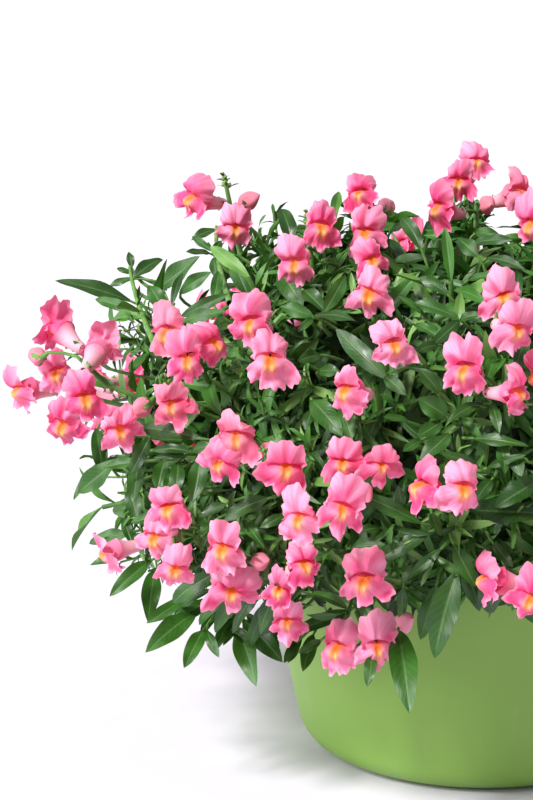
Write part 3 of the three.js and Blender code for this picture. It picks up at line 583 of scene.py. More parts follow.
def new_stem(tip, along, owner, needed):
    plant = plant_of(tip)
    for bend in STEM.bends:
        path = stem_path(tip, along, plant, bend)
        balls = balls_along(path, STEM.radius + STEM.room, STEM.spacing)
        free = [ball for ball in balls if apart(ball[0], tip) > STEM.seat_room]
        if is_clear(free, owner, plant) or (needed and bend == STEM.bends[-1]):
            obstacles.add(balls, owner)
            return Named(path=path, plant=plant)
    return None


def plan_stems(racemes):
    """The stems and leaves that the plain solids hold."""
    leaves = []
    stems = [new_stem(moved(raceme.base, raceme.along, -STEM.seat / 2), raceme.along,
                      f"stem {i}", True) for i, raceme in enumerate(racemes)]
    for i, stem in enumerate(stems):
        add_leaves(stem, f"stem {i}", RACEME_LEAVES, draws(RACEME_LEAVES.seed + i), leaves)
    for direction, random in scattered(SHOOTS):
        tip = on_mound(direction, mix(*SHOOTS.reach, random()))
        near = any(apart(end, tip) < SHOOTS.apart
                   for raceme in racemes for end in (raceme.base, raceme.tip))
        if near or not is_clear([(tip, SHOOTS.room)], ""):
            continue
        owner = f"shoot {len(stems)}"
        stem = new_stem(tip, growth(tip), owner, False)
        if stem:
            stems.append(stem)
            add_leaves(stem, owner, SHOOT_LEAVES, random, leaves)
    return stems, leaves


# ---------------- looks: sizes of the extras

# Shoots and leaves past the limit of the plain solids, by the same kind of rule. A shoot that
# keeps fewer leaves than `fewest` is left out. A leaf before a bloom stays `hides` mm off its
# middle in the display view; only a share of the shoots' leaves is so `shy`, the rest stay `near`.
MORE_SHOOTS = Named(count=780, lowest=-0.66, stray=0.07, reach=[0.86, 1.05], lean=0.45,
                    inner=0.62, leaves=20, start=0.42, long=[38, 13], open=[1.2, 0.35],
                    hides=13, near=5, shy=0.85, fewest=9, stretch=74, seed=8000)
INNER = Named(count=2300, lowest=-0.5, above=6, reach=[0.6, 0.84], lean=1.1, long=[24, 38],
              hides=4, seed=12000)
CORE = Named(scale=0.58, lumps=7, rounds=96, rows=26, under=157, skirt=143,
             span=[math.radians(-9), math.radians(88)], seed=11)
BOX_ROOM = 6
POT_ROOM = 2

# How leaves keep off blooms: the share of a bloom's spheres that they stay out of, how much of
# `hides` they keep off a long leaf for each mm of its width, and from how many mm before a
# bloom or long leaf they would hide it.
GUARD = Named(share=0.85, leaf=0.06, before=2)

RACEME_SEED = 40
LEAF_SEED = 77

# Leaves that stand out in the display view: (across, rise) of the foot and of the tip, and the
# width, in mm.
LONG_LEAVES = [
    (-3, -111, -23, -137, 8), (8, -113, -6, -139, 7), (-13, -114, -32, -138, 7),
    (-21, -111, -42, -133, 7), (15, -120, -3, -144, 7), (20, -127, 3, -143, 5),
    (-27, -120, -40, -142, 6), (2, -120, -12, -147, 7), (11, -126, -10, -133, 5),
    (-7, -120, -27, -127, 5), (-16, -127, -24, -148, 5), (-34, -114, -51, -125, 6),
    (-3, -131, 8, -150, 5), (33, -144, 20, -153, 5), (-69, -96, -94, -118, 8),
    (-85, -91, -105, -101, 5), (-82, -81, -106, -84, 7), (-67, -102, -72, -133, 9),
    (-49, -119, -70, -136, 7), (-31, -104, -56, -122, 9), (-33, -119, -57, -136, 8),
    (-43, -128, -72, -152, 11), (-38, -138, -49, -161, 8), (-36, -138, -30, -155, 5),
    (-21, -131, -32, -151, 6), (-23, -137, -8, -148, 5), (-18, -137, -2, -170, 11),
    (-14, -132, 10, -157, 10), (-12, -128, 0, -142, 5), (21, -143, 9, -157, 5),
    (51, -126, 15, -144, 7), (28, -141, 22, -163, 7), (18, -146, 14, -158, 5),
    (63, -153, 63, -172, 6), (27, -116, 51, -124, 5), (79, -139, 86, -188, 13),
    (82, -112, 80, -128, 5), (102, -111, 93, -144, 8), (114, -103, 98, -154, 13),
    (115, -94, 129, -126, 9), (130, -103, 134, -128, 10), (143, -100, 160, -136, 10),
    (124, -96, 137, -109, 4), (97, -97, 81, -110, 7), (84, -113, 96, -123, 4),
    (140, -105, 150, -122, 4), (-81, 59, -126, 74, 8), (-80, 53, -103, 60, 6),
    (-80, 73, -95, 69, 4), (-81, 76, -90, 79, 3), (-81, 79, -82, 89, 4), (-80, 73, -63, 85, 7),
    (-60, 53, -72, 68, 8), (-65, 67, -39, 83, 10), (-52, 64, -33, 77, 7), (-57, 56, -52, 77, 4),
    (-51, 50, -22, 62, 6), (-51, 47, -24, 53, 6), (-30, 102, -46, 97, 5), (-32, 89, -46, 97, 4),
    (-34, 88, -48, 88, 4), (-32, 85, -30, 73, 5), (-32, 88, -27, 96, 4), (-21, 86, -12, 59, 8),
    (15, 95, 10, 115, 9), (-32, 60, -27, 77, 6), (-40, -23, -78, -16, 8), (-102, -17, -98, -48, 8),
    (-89, -36, -112, -59, 10), (-104, -40, -116, -60, 4), (-76, -37, -98, -41, 6),
    (-70, -22, -82, -46, 7), (-78, -37, -77, -61, 8), (-81, -53, -80, -71, 8),
    (-60, -68, -81, -76, 7), (-45, -31, -68, -28, 5), (-47, -34, -68, -34, 3),
    (-45, -31, -31, -27, 5), (-61, -36, -67, -54, 8), (-53, -37, -53, -58, 7),
    (-40, -35, -42, -61, 9), (-56, -44, -62, -56, 5), (1, -59, -26, -71, 8),
    (-24, -62, -40, -70, 5), (-32, -73, -40, -82, 5), (-14, -72, -3, -90, 5),
    (10, -69, -3, -78, 5), (-86, -71, -81, -88, 5), (27, 0, 43, -23, 10), (45, -5, 50, -24, 8),
    (27, -6, 24, -18, 5), (108, -10, 91, 1, 10), (130, -2, 107, -11, 5), (105, -13, 92, -23, 7),
    (110, -20, 94, -37, 8), (93, -24, 82, -31, 5), (85, -13, 70, -9, 4), (111, -37, 101, -50, 7),
    (128, -41, 104, -32, 5), (132, -41, 156, -34, 4), (124, -23, 157, -29, 6),
    (135, -2, 140, -20, 5), (140, -26, 145, -44, 6), (147, -29, 153, -46, 7),
    (162, -49, 137, -65, 10), (165, -68, 122, -70, 12), (135, -48, 124, -60, 6),
    (93, -74, 54, -59, 7), (81, -64, 80, -51, 5), (107, -67, 123, -59, 4), (97, -80, 65, -98, 8),
    (50, -89, 71, -87, 7), (112, -86, 124, -113, 8), (136, -86, 147, -101, 5),
    (105, -89, 85, -109, 5), (15, -79, 19, -91, 6), (99, -68, 103, -82, 5), (68, -77, 56, -79, 5),
    (32, 89, 22, 103, 6), (93, 90, 82, 111, 7), (74, 101, 85, 105, 4), (127, 86, 114, 96, 8),
    (125, 100, 140, 100, 6), (124, 94, 147, 94, 6), (109, 63, 92, 74, 6), (115, 49, 88, 60, 7),
    (116, 48, 100, 32, 6), (116, 48, 130, 51, 5), (121, 72, 144, 74, 5), (132, 85, 157, 79, 5),
    (34, 52, 49, 74, 7), (22, 66, 34, 51, 8), (90, 46, 103, 36, 5), (72, 13, 40, 41, 9),
    (28, 50, 8, 57, 7), (28, 50, 55, 50, 6), (28, 49, 20, 41, 4), (73, 16, 87, 20, 4),
    (71, 14, 83, 2, 6), (104, 4, 92, 20, 7), (102, 25, 114, 28, 5), (103, 33, 89, 31, 5),
    (156, 38, 147, 19, 7), (8, 79, 20, 55, 11), (32, 27, 18, 25, 6), (31, 17, 45, 18, 6),
    (142, 44, 153, 41, 4), (128, 10, 135, 0, 4),
]
# deep: the most painted shade that darkens a long leaf, chosen at random per leaf.
LONG = Named(foot=0.98, tip=1.03, steep=0.7, step=4, most=60, wider=1.24, lift=0.7, flat=0.45,
             dark=0.28, deep=0.3, stalk=16, seed=9000)

# Shoots that these leaves stand on where the mound is open: (across, rise) points, in mm.
SPRIGS = [
    [(-66, 30), (-72, 45), (-80, 62), (-82, 80)], [(-50, 30), (-56, 46), (-58, 58), (-63, 67)],
    [(-22, 58), (-28, 76), (-31, 90), (-30, 104)],
]

# Places beside the mound that stay bare in the display view: left, right, low and high, in mm.
BARE = [
    (-112, -86, -72, -44), (-122, -104, -92, -60), (-60, -31, 53, 100), (-51, -30, 44, 72),
    (74, 96, 97, 130), (140, 170, 97, 118), (-175, -118, 46, 66), (-175, -131, -120, -30),
]

# Radii of the tubes from foot to tip, and how many sides each has.
TRUNK = [5, 4.6, 4.3, 4.2, 4.2, 4.4], 12
SHOOT = np.linspace(1.5, 0.7, 7), 5
SPRIG = np.linspace(1.9, 1.1, 9), 8
LEAF_STALK = [1.2, 1.1, 1, 0.9, 0.7], 6
PEDICEL = [1.2, 1.0, 0.95, 1.1, 2.0], 6
FLOWER_STALK = [1.9, 1.9, 1.6, 1.3, 1.0], 8
STEM_TUBE = np.linspace(STEM.radius, STEM.tip, 9) * 0.85, 7

# The cluster of young buds at a stalk's tip, each size from the lowest bud to the highest.
CLUSTER = Named(count=8, high=[-1, 7], lean=[0.9, 0.25], size=[1.6, 0.9], aside=[1.9, 0.4],
                open=[1.0, 0.5], long=[9, 5])


# ---------------- looks: meshes

class Builder:
    """Gathers points and faces, in millimetres, for one piece."""

    def __init__(self):
        self.points, self.loops, self.sizes, self.values = [], [], [], {}
        self.count = 0

    def add(self, points, faces, **values):
        points = np.asarray(points, float).reshape(-1, 3)
        faces = np.asarray(faces, int)
        self.points.append(points)
        self.loops.append((faces + self.count).ravel())
        self.sizes.append(np.full(len(faces), faces.shape[1]))
        for key, value in values.items():
            spread = np.broadcast_to(np.asarray(value, float), len(points))
            self.values.setdefault(key, []).append(spread)
        self.count += len(points)

    def add_rings(self, points, **values):
        """Rows of points, each closed to a ring."""
        self.add(points, grid(*np.shape(points)[:2], closed=True), **values)

    def fan(self, tip, ring):
        """Triangles from a new point to a closed ring of points made before."""
        self.points.append(np.array([tip], float))
        faces = np.stack([np.full(len(ring), self.count), np.roll(ring, -1), ring], -1)
        self.loops.append(faces.ravel())
        self.sizes.append(np.full(len(ring), 3))
        self.count += 1

    def mesh(self, name, material):
        mesh = bpy.data.meshes.new(name)
        points, loops, sizes = map(np.concatenate, (self.points, self.loops, self.sizes))
        mesh.vertices.add(len(points))
        mesh.vertices.foreach_set("co", (points * MM).ravel())
        mesh.loops.add(len(loops))
        mesh.loops.foreach_set("vertex_index", loops)
        mesh.polygons.add(len(sizes))
        mesh.polygons.foreach_set("loop_start", np.cumsum(sizes) - sizes)
        mesh.polygons.foreach_set("loop_total", sizes)
        mesh.polygons.foreach_set("use_smooth", np.ones(len(sizes), bool))
        for key, values in self.values.items():
            attribute = mesh.attributes.new(key, "FLOAT", "POINT")
            attribute.data.foreach_set("value", np.concatenate(values))
        mesh.update(calc_edges=True)
        mesh.materials.append(material)
        return in_scene(name, mesh)

    def piece(self, name, material, slot):
        ob = self.mesh(name, material)
        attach(ob, "root")
        return ob


def in_scene(name, data):
    ob = bpy.data.objects.new(name, data)
    bpy.context.scene.collection.objects.link(ob)
    return ob


def grid(rows, columns, closed=False):
    """Quads between points laid out row by row."""
    across = columns if closed else columns - 1
    row, column = np.meshgrid(np.arange(rows - 1), np.arange(across), indexing="ij")
    after = (column + 1) % columns
    corners = [row * columns + column, row * columns + after,
               (row + 1) * columns + after, (row + 1) * columns + column]
    return np.stack(corners, -1).reshape(-1, 4)


def smooth(low, high, value):
    t = np.clip((value - low) / (high - low), 0, 1)
    return t * t * (3 - 2 * t)


def bell(value, width):
    return np.exp(-(value / width) ** 2)


def ring_of(sides):
    return np.linspace(0, 2 * np.pi, sides, endpoint=False)


def add_tube(builder, path, radii, sides, **values):
    path = np.asarray(path, float)
    along = np.vstack([path[1:], path[-1:]]) - np.vstack([path[:1], path[:-1]])
    along /= np.linalg.norm(along, axis=1)[:, None]
    u = np.cross(RIGHT if abs(along[:, 2]).mean() > 0.8 else UP, along)
    u /= np.linalg.norm(u, axis=1)[:, None]
    v = np.cross(along, u)
    angle = ring_of(sides)[None, :, None]
    ring = u[:, None] * np.cos(angle) + v[:, None] * np.sin(angle)
    builder.add_rings(path[:, None] + ring * np.asarray(radii, float)[:, None, None], **values)


# ---------------- looks: leaves

# Where each kind of blade has its rows, along it, and its columns, across it.
LEAF_SIZES = {
    "fine": (np.linspace(0, 1, 14), np.linspace(-1, 1, 7)),
    "large": (np.array([0, 0.1, 0.22, 0.36, 0.5, 0.64, 0.78, 0.9, 1]), np.linspace(-1, 1, 5)),
    "small": (np.array([0, 0.16, 0.38, 0.62, 0.84, 1]), np.linspace(-1, 1, 3)),
}
LARGE_FROM = 29


def leaf_profile(share):
    """Half width of a lance-shaped leaf along its rib, 1 at its widest."""
    lance = share ** 0.85 * np.clip(1 - share, 0, 1) ** 0.9 / 0.2975
    return np.maximum(lance, 0.14 * (1 - share) ** 2) + 0.02


def add_leaf_group(builder, leaves, stations, across):
    """Curved, folded and waved leaf blades, all made in one go."""
    def column(key):
        return np.array([getattr(leaf, key) for leaf in leaves], float)[:, None]

    root, along, over = map(column, ("root", "along", "over"))
    side = np.cross(along, over)
    length, curl = column("length"), column("curl")
    bend = curl * stations[None]
    forward = (length * np.sin(bend) / curl)[..., None]
    down = (length * (1 - np.cos(bend)) / curl)[..., None]
    sway = (column("sway") * length * stations[None] ** 2)[..., None]
    rib = root + along * forward - over * down + side * sway
    off = over * np.cos(bend)[..., None] + along * np.sin(bend)[..., None]
    twist = (column("twist") * stations[None])[..., None]
    aside = side * np.cos(twist) + off * np.sin(twist)
    off = off * np.cos(twist) - side * np.sin(twist)
    half = 0.5 * column("width") * leaf_profile(stations)[None]
    reach = half[..., None] * across[None, None]
    fold = column("fold")[..., None]
    waves = np.sin(stations[None, :, None] * 9 + column("phase")[..., None]
                   + np.sign(across) * 1.3)
    rise = np.abs(reach) * (fold + 0.28 * waves * np.abs(across))
    points = (rib[:, :, None] + aside[:, :, None] * (reach * np.cos(fold))[..., None]
              + off[:, :, None] * rise[..., None])
    shape = points.shape[:3]
    starts = np.arange(shape[0]) * shape[1] * shape[2]
    faces = grid(*shape[1:])[None] + starts[:, None, None]
    # deep carries each leaf's painted shade to the leaf material.
    spread = {"along": stations[None, :, None], "across": across[None, None],
              "hue": column("hue")[..., None], "deep": column("deep")[..., None]}
    builder.add(points, faces.reshape(-1, 4),
                **{key: np.broadcast_to(value, shape).ravel() for key, value in spread.items()})


def add_leaf_blades(builder, leaves):
    for size, shares in LEAF_SIZES.items():
        group = [leaf for leaf in leaves if leaf.size == size]
        if group:
            add_leaf_group(builder, group, *shares)


def dressed(leaf, random, deep, size=None):
    """The same leaf with its fold, twist, waves, random tone, and the painted shade deep."""
    return Named(**vars(leaf), fold=mix(0.15, 0.75, random()), twist=mix(-0.9, 0.9, random()),
                 phase=mix(0, 6.28, random()), hue=random(), deep=deep,
                 sway=mix(-0.11, 0.11, random()),
                 size=size or ("large" if leaf.length > LARGE_FROM else "small"))


# ---------------- looks: bloom shapes

# A bloom faces +X from the origin, hood up. The tube is (x, radius, z) rings from the calyx.
TUBE_RINGS = [(-24.5, 2.2, -3), (-22.5, 3.4, -3.4), (-18, 3.9, -3.2), (-13, 4.6, -2.2),
              (-9, 5.6, -1.2), (-6.5, 6.6, -0.6)]
MOUTH = Named(back=-5.5, radius=7.0, chin=8.5, sides=18)
HOOD = Named(rows=13, columns=43, half=math.radians(104), middle=1.0, lobe=0.56)
LIP = Named(rows=17, columns=55, half=math.radians(98), middle=4.2, crease=9.6,
            middle_half=0.44, side_half=0.5)
# How long the lower lip's lobes may be, and how far they may flare and twist: first the two at
# the sides, then the middle one.
LOBES, FLARES, TWISTS = ((5.5, 10.5), (6, 10)), ((-1, 8), (1, 8)), ((-8, 8), (-7, 7))
SEPALS = 5


def smooth_run(knots, count):
    """An even run of `count` steps that passes smoothly through the knots."""
    run = []
    for t in np.linspace(0, len(knots) - 1, count):
        i = min(int(t), len(knots) - 2)
        f = t - i
        a, b, c, d = (knots[clamp(i + k, 0, len(knots) - 1)] for k in (-1, 0, 1, 2))
        run.append(b + 0.5 * f * ((c - a) + f * (2 * a - 5 * b + 4 * c - d)
                                  + f * f * (3 * b - a - 3 * c + d)))
    return np.stack(run)


def bloom_tube():
    """The closed tube from the calyx to the mouth, longer below, as rings round X."""
    angle = ring_of(MOUTH.sides)
    below = np.maximum(0, -np.sin(angle))
    rings = [(np.full(MOUTH.sides, float(x)), r, z) for x, r, z in TUBE_RINGS]
    rings.append((MOUTH.back + MOUTH.chin * below, MOUTH.radius, -0.8 * below))
    return np.stack([np.stack([x, r * np.cos(angle), z + 1.08 * r * np.sin(angle)], -1)
                     for x, r, z in rings]), angle


def crumpled(look, angle, out):
    """Small folds all over a lip, from -1 to 1, deeper towards its edge."""
    folds = sum(np.sin(across * angle + down * out + phase)
                for across, down, phase in look.folds)
    return smooth(0.15, 0.9, out) * folds / len(look.folds)


def bloom_hood(look):
    """The upper lip: an arch over the mouth that rises to two lobes, and how it is folded."""
    phi = np.linspace(-1, 1, HOOD.columns) * HOOD.half
    low = smooth(0.3, 1.7, np.abs(phi))
    right = 0.5 + 0.5 * np.tanh(4 * phi)
    teeth = 0.7 * np.sin(11 * phi + look.phase) + 0.55 * np.sin(19 * phi + 3 * look.phase)
    lobes = 0.9 * bell(np.abs(phi) - HOOD.lobe, 0.34) - look.notch * bell(phi, 0.16)
    rim = (17.2 - 7.6 * low + lobes + teeth) * look.hood * mix(*look.ears, right)
    arch = 4.2 + 3.6 * low
    leans = mix(*look.leans, right)
    one = np.ones_like(phi)
    x = [-6 * one, 0.2 - 3 * low, 4.6 - 5 * low, 6.2 - 5.7 * low, 6.3 - 5.4 * low,
         4.6 + 0.34 * leans - 3.6 * low, leans - 0.8 * low]
    r = [6.6 * one, arch + 1.2 - 1.4 * low, arch - 0.3 * low, arch + 1.3 - 1.1 * low,
         arch + 0.36 * (rim - arch), arch + 0.72 * (rim - arch), rim - 0.12 * np.abs(leans)]
    x, r = smooth_run(x, HOOD.rows), smooth_run(r, HOOD.rows)
    out = np.linspace(0, 1, HOOD.rows)[:, None]
    wave = np.sin(4.6 * phi + look.phase) + 0.5 * np.sin(10.5 * phi + 2 * look.phase)
    x = x + look.ruffle * out ** 3 * wave
    x = x + 0.5 * smooth(0.8, 1, out) * np.sin(17 * phi + look.phase)
    x = x + 1.7 * np.sin(np.pi * out) * bell(np.abs(phi) - HOOD.lobe, 0.45)
    x = x - look.crease * bell(phi, 0.15) * smooth(0.45, 1, out)
    folds = crumpled(look, phi, out)
    x = x + look.crumple * folds
    bent = look.bent * bell(phi - look.bends, 0.5) * smooth(0.45, 1, out)
    x, r = x + bent, r - 0.6 * np.abs(bent)
    turned = phi + look.roll[0] * smooth(0, 0.6, out)
    y = r * np.sin(turned) * (1 + (look.broad - 1) * smooth(0, 0.5, out))
    z = HOOD.middle + r * np.cos(turned)
    tilt = look.tilt * smooth(0, 0.7, out)
    back, high = x + 3, z - 5
    x = back * np.cos(tilt) - high * np.sin(tilt) - 3
    z = back * np.sin(tilt) + high * np.cos(tilt) + 5
    return np.stack([x, y, z], -1), out + 0 * phi, 2.2 * phi + 0 * out, folds


def bloom_lip(look):
    """The swollen palate that shuts the mouth, and the three lobes that hang from it."""
    theta = np.linspace(-1, 1, LIP.columns) * LIP.half
    middles = (-look.side, 0, look.side)
    halves = (LIP.side_half, LIP.middle_half, LIP.side_half)
    lobes = [np.maximum(0.0, np.cos(np.clip((theta - at) / half, -1, 1) * np.pi / 2))
             for at, half in zip(middles, halves)]
    reach = sum(long * lobe ** look.round for long, lobe in zip(look.lobes, lobes))
    teeth = 0.7 * np.sin(15 * theta + look.phase) + 0.6 * np.sin(26 * theta)
    cheek = 1.8 * smooth(0.9, 1.5, np.abs(theta))
    rim = LIP.crease + 0.7 - cheek + reach + teeth * (reach > 1)
    share = np.linspace(0.03, 1, LIP.rows)[:, None] ** 0.9
    r = rim * share
    out = np.clip((r - LIP.crease) / 9, 0, 2)
    dome = bell(r - 6.2, 5.2) * np.exp(-(theta / 1.2) ** 4)
    x = 0.4 + 8.8 * dome - 1.9 * bell(r * theta, 1.5) * dome
    x = x - 0.6 * bell(r * (np.abs(theta) - 0.55), 1.4) * dome
    flare = sum(most * lobe for most, lobe in zip(look.flares, lobes))
    x = x + flare * out - look.curl * smooth(0.5, 1.4, out) * sum(lobes)
    x = x - 2.4 * bell(np.abs(theta) - 0.51, 0.1) * smooth(0.5, 1, share)
    twist = sum(most * lobe * (theta - at)
                for most, lobe, at in zip(look.twists, lobes, middles))
    x = x + twist * smooth(0.1, 1, out)
    wave = np.sin(7 * theta + 2 * look.phase) + 0.6 * np.sin(15 * theta + look.phase)
    x = x + look.ruffle * smooth(0.1, 1, out) * wave
    x = x + 0.45 * smooth(0.7, 1, share) * (reach > 1) * np.sin(27 * theta + look.phase)
    folds = crumpled(look, theta + 2, out)
    x = x + look.crumple * folds
    lift = np.where(theta < 0, *look.wings) * out ** 1.5 * np.abs(np.sin(theta))
    turned = theta + look.roll[1] * smooth(0.5, 1, share)
    y = r * np.sin(turned) * (1 + (look.broad - 1) * smooth(0.2, 1, share))
    z = LIP.middle - r * np.cos(turned) + lift
    warm = bell(r - 4.4, 5.8) * bell(r * np.sin(theta), look.streak)
    rise = np.clip((z + 7.5) / 10, 0, 1)
    edge = np.clip((r - 0.7 * rim) / (0.3 * rim), 0, 1) * (reach > 1)
    return np.stack([x, y, z], -1), edge, warm, rise, 2.2 * theta + 0 * r, dome, folds


def bloom_look(random, away):
    """How one bloom is shaped; the hood of one that faces `away` stays closed forward."""
    def pick(low, high):
        return mix(low, high, random())

    def pick_three(side, middle):
        return [pick(*side), pick(*middle), pick(*side)]

    leans = (4, 9) if away else (-4, 7)
    return Named(
        hood=pick(0.92, 1.14), broad=pick(0.82, 1.04), notch=pick(-1.4, 2.6),
        ears=[pick(0.84, 1.14), pick(0.84, 1.14)], leans=[pick(*leans), pick(*leans)],
        bent=pick(-5, 9), bends=pick(-1.1, 1.1), crease=pick(0, 2), crumple=pick(1.6, 3.4),
        round=pick(0.5, 0.9), folds=[(pick(2, 8), pick(-9, 9), pick(0, 6.28)) for _ in range(4)],
        tilt=pick(-0.4, 0.45), ruffle=pick(0.5, 1.5), phase=pick(0, 6.28),
        wings=[pick(-3, 3), pick(-3, 3)], streak=pick(2.5, 3.9), lobes=pick_three(*LOBES),
        flares=pick_three(*FLARES), twists=pick_three(*TWISTS), side=pick(0.66, 0.96),
        curl=pick(0, 4.5), roll=[pick(-0.36, 0.36), pick(-0.26, 0.26)], tip=pick(-0.24, 0.24))


def add_bloom(petals, green, bloom, random, faded):
    look = bloom_look(random, dot(bloom.facing, BACK) < 0)
    left, lift = (turned_about(way, bloom.facing, look.tip)
                  for way in (bloom.left, bloom.lift))
    axes = np.array([bloom.facing, left, lift]) * bloom.size
    plain = dict(hue=random(), faded=faded, edge=0, warm=0, rise=0, pale=0, bulge=0, folds=0)

    def add_sheet(points, closed=False, **values):
        flat = {key: np.broadcast_to(value, points.shape[:2]).ravel()
                for key, value in {**plain, **values}.items()}
        petals.add(points @ axes + np.array(bloom.face),
                   grid(*points.shape[:2], closed=closed), **flat)

    points, angle = bloom_tube()
    add_sheet(points, True, pale=1 - smooth(-13, -4, points[..., 0]), ray=2 * angle)
    # folds bends the hood and lip, and the petal material also paints shade along it.
    points, out, ray, folds = bloom_hood(look)
    add_sheet(points, edge=out ** 1.5, rise=1, ray=ray, folds=folds)
    points, edge, warm, rise, ray, dome, folds = bloom_lip(look)
    add_sheet(points, edge=edge, warm=warm, rise=rise, ray=ray, bulge=dome, folds=-folds)
    add_calyx(green, bloom.foot, bloom.facing, 7.5 * bloom.size, 3.3, random)
    add_pedicel(green, bloom)


def add_calyx(green, foot, facing, length, width, random, snug=False):
    """A ring of sepals; those of a bud lie against it."""
    openings, curls = ((0.95, 1.1), (-1.25, -0.95)) if snug else ((0.35, 0.6), (0.2, 0.6))
    sepals = []
    for k in range(SEPALS):
        out = turned_about(beside(facing), facing, 2 * math.pi * (k + 0.3 * random()) / SEPALS)
        opening = mix(*openings, random())
        sepal = leaf_from(moved(foot, facing, -1.2, out, 0.6), facing, out, opening,
                          length * mix(0.85, 1.1, random()), width, mix(*curls, random()))
        sepals.append(dressed(sepal, random, 0))
    add_leaf_group(green, sepals, *LEAF_SIZES["large" if snug else "small"])


def add_pedicel(green, part):
    start, end = part.stalk_point, part.foot
    gap = apart(start, end)
    path = curve([start, moved(start, UP, 0.1 * gap), moved(end, UP, 0.12 * gap), end], 5)
    add_tube(green, path, *PEDICEL, along=0.5, across=0.6, hue=0.8, deep=0)


def add_ovoid(builder, middle, axis, radius, length, swirl, rounds, rows, **values):
    """A bud: a pointed ovoid of overlapping petals."""
    u = beside(axis)
    t = np.linspace(0.04, 0.985, rows)[:, None]
    angle = ring_of(rounds)[None]
    wide = radius * np.sin(np.pi * t ** 0.85) ** 0.75
    wide = wide * (1 + swirl * np.sin(2 * angle + 4 * t) + 0.4 * swirl * np.sin(5 * angle - 3 * t))
    builder.add_rings(np.asarray(middle) + (t[..., None] - 0.5) * length * np.asarray(axis)
                      + (wide * np.cos(angle))[..., None] * np.asarray(u)
                      + (wide * np.sin(angle))[..., None] * np.asarray(cross(axis, u)),
                      **values)


def add_bud(petals, green, bud, random):
    along = unit(moved(bud.foot, bud.stalk_point, -1))
    radius = bud.radius
    add_ovoid(petals, moved(bud.foot, along, 0.4 * radius), along, 1.02 * radius,
              3.2 * radius, 0.14, 24, 16, edge=0.3, warm=0, rise=0.3, pale=0.4,
              ray=0, bulge=0, folds=0, hue=random(), faded=mix(0.25, 0.55, random()))
    bud.foot = moved(bud.foot, along, -radius)
    add_calyx(green, bud.foot, along, 1.9 * radius, 1.2 * radius, random, snug=True)
    add_pedicel(green, bud)


def add_stalk(green, raceme, random, guard):
    """The flower stalk with the cluster of young buds and bracts at its tip."""
    base, tip, along = raceme.base, raceme.tip, raceme.along
    inside = any(apart(at, tip) < radius + 4 for bloom in raceme.blooms
                 for at, radius in bloom.balls[2:])
    bare = inside or along[2] < 0 or not guard.allows(np.array([tip]), 14)
    end = moved(tip, along, 2 - STALK.above if bare else 3)
    path = [moved(base, along, -1), base, moved(base, moved(end, base, -1), 0.5),
            moved(end, along, -4), end]
    add_tube(green, path, *FLOWER_STALK, along=0.3, across=0.8, hue=0.75, deep=0)
    if bare:
        return
    bracts = []
    for k in range(CLUSTER.count):
        def sized(ends):
            return mix(*ends, k / (CLUSTER.count - 1))
        out = turned_about(beside(along), along, GOLDEN_ANGLE * k)
        high, size = sized(CLUSTER.high), sized(CLUSTER.size)
        add_ovoid(green, moved(tip, along, high, out, sized(CLUSTER.aside)),
                  unit(moved(along, out, sized(CLUSTER.lean))), size, 2.6 * size, 0.05, 8, 7,
                  along=0.6, across=0.7, hue=0.95, deep=0)
        bract = leaf_from(moved(tip, along, high - 2.5), along, out, sized(CLUSTER.open),
                          sized(CLUSTER.long), 1.9, 0.7)
        bracts.append(dressed(bract, random, 0))
    add_leaf_group(green, bracts, *LEAF_SIZES["small"])


# ---------------- looks: materials

def linear(code):
    """A colour socket's value from an sRGB hex code."""
    parts = [int(code[i:i + 2], 16) / 255 for i in (1, 3, 5)]
    return (*[c / 12.92 if c <= 0.04045 else ((c + 0.055) / 1.055) ** 2.4 for c in parts], 1)


class Value:
    """What a node gives out; sums and products of these lay out more nodes."""

    def __init__(self, nodes, socket):
        self.nodes, self.socket = nodes, socket

    def __add__(self, other):
        return self.nodes.math("ADD", self, other)

    def __sub__(self, other):
        return self.nodes.math("SUBTRACT", self, other)

    def __mul__(self, other):
        return self.nodes.math("MULTIPLY", self, other)

    def between(self, low, high, start=0.0, end=1.0):
        return self.nodes.made(
            "ShaderNodeMapRange", {"Value": self, "From Min": low, "From Max": high,
                                   "To Min": start, "To Max": end},
            interpolation_type="SMOOTHSTEP")


